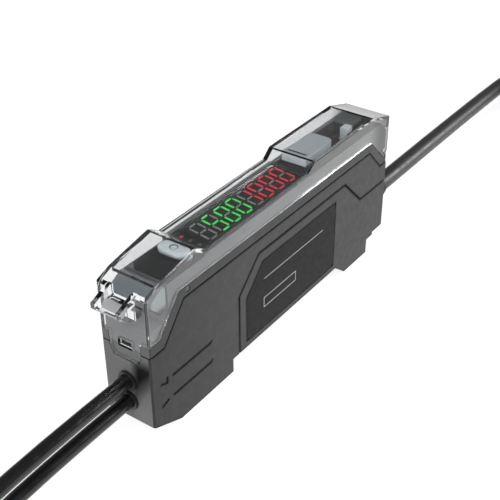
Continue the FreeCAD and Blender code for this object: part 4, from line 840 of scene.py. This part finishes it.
def strap_rings(x, low, high, top, width):
    """Cross sections of the strap, all the way round the run that it holds."""
    inner, outer = STRAP_CORNER - STRAP, STRAP_CORNER
    section = ((-0.5, inner), (0.5, inner), (0.5, outer - 0.15), (0.38, outer),
               (-0.38, outer), (-0.5, outer - 0.15))
    left, right = low + STRAP_CORNER, high - STRAP_CORNER
    down, up = STRAP_CORNER, top - STRAP_CORNER
    rings = []
    for turn, (y, z) in enumerate(((right, up), (left, up), (left, down), (right, down))):
        for step in range(CORNER_STEPS + 1):
            angle = (turn + step / CORNER_STEPS) * math.pi / 2
            rings.append([(x + shift * width, y + reach * math.cos(angle),
                           z + reach * math.sin(angle)) for shift, reach in section])
    return rings


def lock_rings(width):
    """Outlines of the locking block, from its foot to its top."""
    rings = []
    for share, shrink in ((0, 0.35), (0.12, 0), (0.88, 0), (1, 0.35)):
        a, b = width * 1.5 / 2 - shrink, LOCK_LENGTH / 2 - shrink
        c, d = a - LOCK_CUT, b - LOCK_CUT
        rings.append([(u, v, LOCK_HEIGHT * share) for u, v in (
            (-c, -b), (c, -b), (a, -d), (a, d), (c, b), (-c, b), (-a, d), (-a, -d))])
    return rings


def tail_rings(width):
    """Cross sections of the cut tail, which leaves the block and rises a little."""
    rings = []
    for share in (0, 0.5, 1):
        half = width / 2 * (1 - 0.15 * share)
        along = TAIL_START[0] + TAIL_REACH * share
        foot = TAIL_START[1] + TAIL_RISE * share
        rings.append([(u, along, foot + v) for u, v in (
            (-half, 0), (half, 0), (half, TAIL_THICKNESS), (-half, TAIL_THICKNESS))])
    return rings


def tie(name, x, low, high, top, width, lock, on_side=False):
    """Cable tie round one run of a hank: a strap, its locking block and its tail.

    The block stands on top of the strap, or else on the side of it that faces -Y."""
    y, z = lock
    shape = bmesh.new()
    skin(shape, strap_rings(x, low, high, top, width), closed=True)
    for rings in (lock_rings(width), tail_rings(width)):
        if on_side:
            skin(shape, [[(x + u, y - w, z + v) for u, v, w in ring] for ring in rings])
        else:
            skin(shape, [[(x + u, y + v, z + w) for u, v, w in ring] for ring in rings])
    return mesh_piece(name, shape, nylon)


# ---------------------------------------------------------------- pieces of the leads
LEVER_PIN = (-26.15, 25.5)


def lever_pin():
    """Steel pin of the lever, as long as the case is wide, with rounded ends."""
    shape = bmesh.new()
    skin(shape, [[(LEVER_PIN[0] + u, y, LEVER_PIN[1] + v) for u, v in circle(radius, 24)]
                 for y, radius in ((-5.02, 0.42), (-4.9, 0.56), (-4.8, 0.6), (4.8, 0.6),
                                   (4.9, 0.56), (5.02, 0.42))])
    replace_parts(mesh_piece("lever_pin_full", shape, dark_steel), "lever_pin")


lever_pin()
receive_tip = fibre_head("receive_tip", *RECEIVE_HEAD)
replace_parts(receive_tip, "receive_head")
transmit_tip = fibre_head("transmit_tip", *TRANSMIT_HEAD)
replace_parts(transmit_tip, "transmit_head")
tips = fibre_tips([RECEIVE_HEAD, TRANSMIT_HEAD])
bare_cores = cores()
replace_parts(bare_cores[0], "cable_cores")
fibre_ties = [tie("tie_fibre_near", -104, -27.3, -19.2, 10.9, 2.6, (-23.5, 10.6)),
              tie("tie_fibre_far", -92, -6.8, 1.6, 10.9, 2.6, (-6.4, 6.0), on_side=True)]
cable_ties = [tie("tie_cable_near", 171, -29.1, -21.2, 19.4, 3.6, (-21.0, 10.0), on_side=True),
              tie("tie_cable_far", 160, -2.8, 5.1, 19.4, 3.6, (-0.2, 19.1))]


# ---------------------------------------------------------------- display
SEGMENTS = {
    "a": ((-0.5, 1.0), (0.5, 1.0)), "b": ((0.5, 1.0), (0.5, 0.0)), "c": ((0.5, 0.0), (0.5, -1.0)),
    "d": ((-0.5, -1.0), (0.5, -1.0)), "e": ((-0.5, 0.0), (-0.5, -1.0)),
    "f": ((-0.5, 1.0), (-0.5, 0.0)), "g": ((-0.5, 0.0), (0.5, 0.0)),
}
NUMERALS = {"0": "abcdef", "1": "bc", "5": "acdfg", " ": ""}
READOUT = " 5001000"
GREEN_DIGITS = 4
DIGIT_PITCH = 3.375
DIGIT_START = -17.05
DIGIT_LEVEL = 28.10
DIGIT_WIDTH = 2.1
DIGIT_HALF_HEIGHT = 2.6
DIGIT_SLANT = 0.13
BAR_HALF_WIDTH = 0.18
BAR_GAP = 0.22
BAR_THICKNESS = 0.08
BAR_BEVEL = 0.04


def segment(shape, digit_x, ends):
    """One bar of a numeral: a flat prism with pointed ends and a bevelled top."""
    start, end = (Vector((u * DIGIT_WIDTH, v * DIGIT_HALF_HEIGHT)) for u, v in ends)
    along = (end - start).normalized()
    side = Vector((-along.y, along.x))
    start += along * BAR_GAP
    end -= along * BAR_GAP
    outline = [start, start + (along + side) * BAR_HALF_WIDTH,
               end + (side - along) * BAR_HALF_WIDTH, end,
               end - (along + side) * BAR_HALF_WIDTH, start + (along - side) * BAR_HALF_WIDTH]
    middle = (start + end) / 2
    rings = []
    for share, shrink in ((0, 0.0), (0.7, 0.0), (1, BAR_BEVEL)):
        places = [corner + (middle - corner).normalized() * shrink for corner in outline]
        rings.append([(digit_x + place.x + DIGIT_SLANT * place.y, place.y,
                       DIGIT_LEVEL + BAR_THICKNESS * share) for place in places])
    skin(shape, rings)


def display():
    """Eight numerals, lit green and red, with their unlit bars, which have a faint painted glow."""
    lit_green, lit_red, unlit = bmesh.new(), bmesh.new(), bmesh.new()
    for place, numeral in enumerate(READOUT):
        for name, ends in SEGMENTS.items():
            target = unlit
            if name in NUMERALS[numeral]:
                target = lit_green if place < GREEN_DIGITS else lit_red
            segment(target, DIGIT_START + DIGIT_PITCH * (place + 0.5), ends)
    # The unlit bars glow faintly: painted light, for they give none.
    for name, shape, material in (
            ("numerals_green", lit_green, glow("green_light", (0.08, 0.85, 0.13), 1.1)),
            ("numerals_red", lit_red, glow("red_light", (0.85, 0.035, 0.06), 1.1)),
            ("numerals_unlit", unlit, glow("unlit_bar_painted_glow", (0.42, 0.40, 0.40), 0.28))):
        mesh_piece(name, shape, material)


LAMP_SPACING = 1.98
LAMP_RANGE = (-19.2, -18.4)
LAMP_HALF_WIDTH = 0.3
LIT_SIDE = 1.2


def indicator_material():
    """Three small lamps under one window: only the far one is lit."""
    shade = Shade("indicators")
    y = shade.axis("Y")
    off_middle = shade.math("PINGPONG", shade.math("ADD", y, LAMP_SPACING), LAMP_SPACING / 2)
    spot = shade.all_of(shade.box(X=LAMP_RANGE), shade.between(off_middle, -0.1, LAMP_HALF_WIDTH))
    far = shade.all_of(shade.above(y, LIT_SIDE), spot)
    tone = shade.mix(spot, (0.012, 0.012, 0.013), (0.20, 0.195, 0.195))
    tone = shade.mix(far, tone, (0.75, 0.05, 0.07))
    shade.feed(Base_Color=tone, Emission_Color=tone,
               Emission_Strength=shade.math("MULTIPLY", far, 0.6),
               Roughness=shade.ramp(shade.noise(1.0), 0.35, 0.45))
    return shade.finish()


display()
paint(indicator_material(), "indicator_leds")


# ---------------------------------------------------------------- floor
FLOOR_HALF = 3.0  # metres


def paper_material():
    """White paper, bright enough to stay white under the part."""
    shade = Shade("paper")
    fibres = shade.noise(0.8, detail=4)
    tone = shade.mix(shade.ramp(fibres, 0, 1), (0.28, 0.28, 0.28), (0.30, 0.30, 0.30))
    shade.feed(Base_Color=tone, Roughness=0.9, Emission_Color=(1, 1, 1, 1),
               Emission_Strength=0.88)
    shade.bump(fibres, 0.05)
    return shade.finish()


def floor_plane():
    mesh = bpy.data.meshes.new("floor")
    mesh.from_pydata([(x * FLOOR_HALF, y * FLOOR_HALF, 0)
                      for x, y in ((-1, -1), (1, -1), (1, 1), (-1, 1))], [], [(0, 1, 2, 3)])
    mesh.materials.append(paper_material())
    new_object("floor", mesh)


floor_plane()
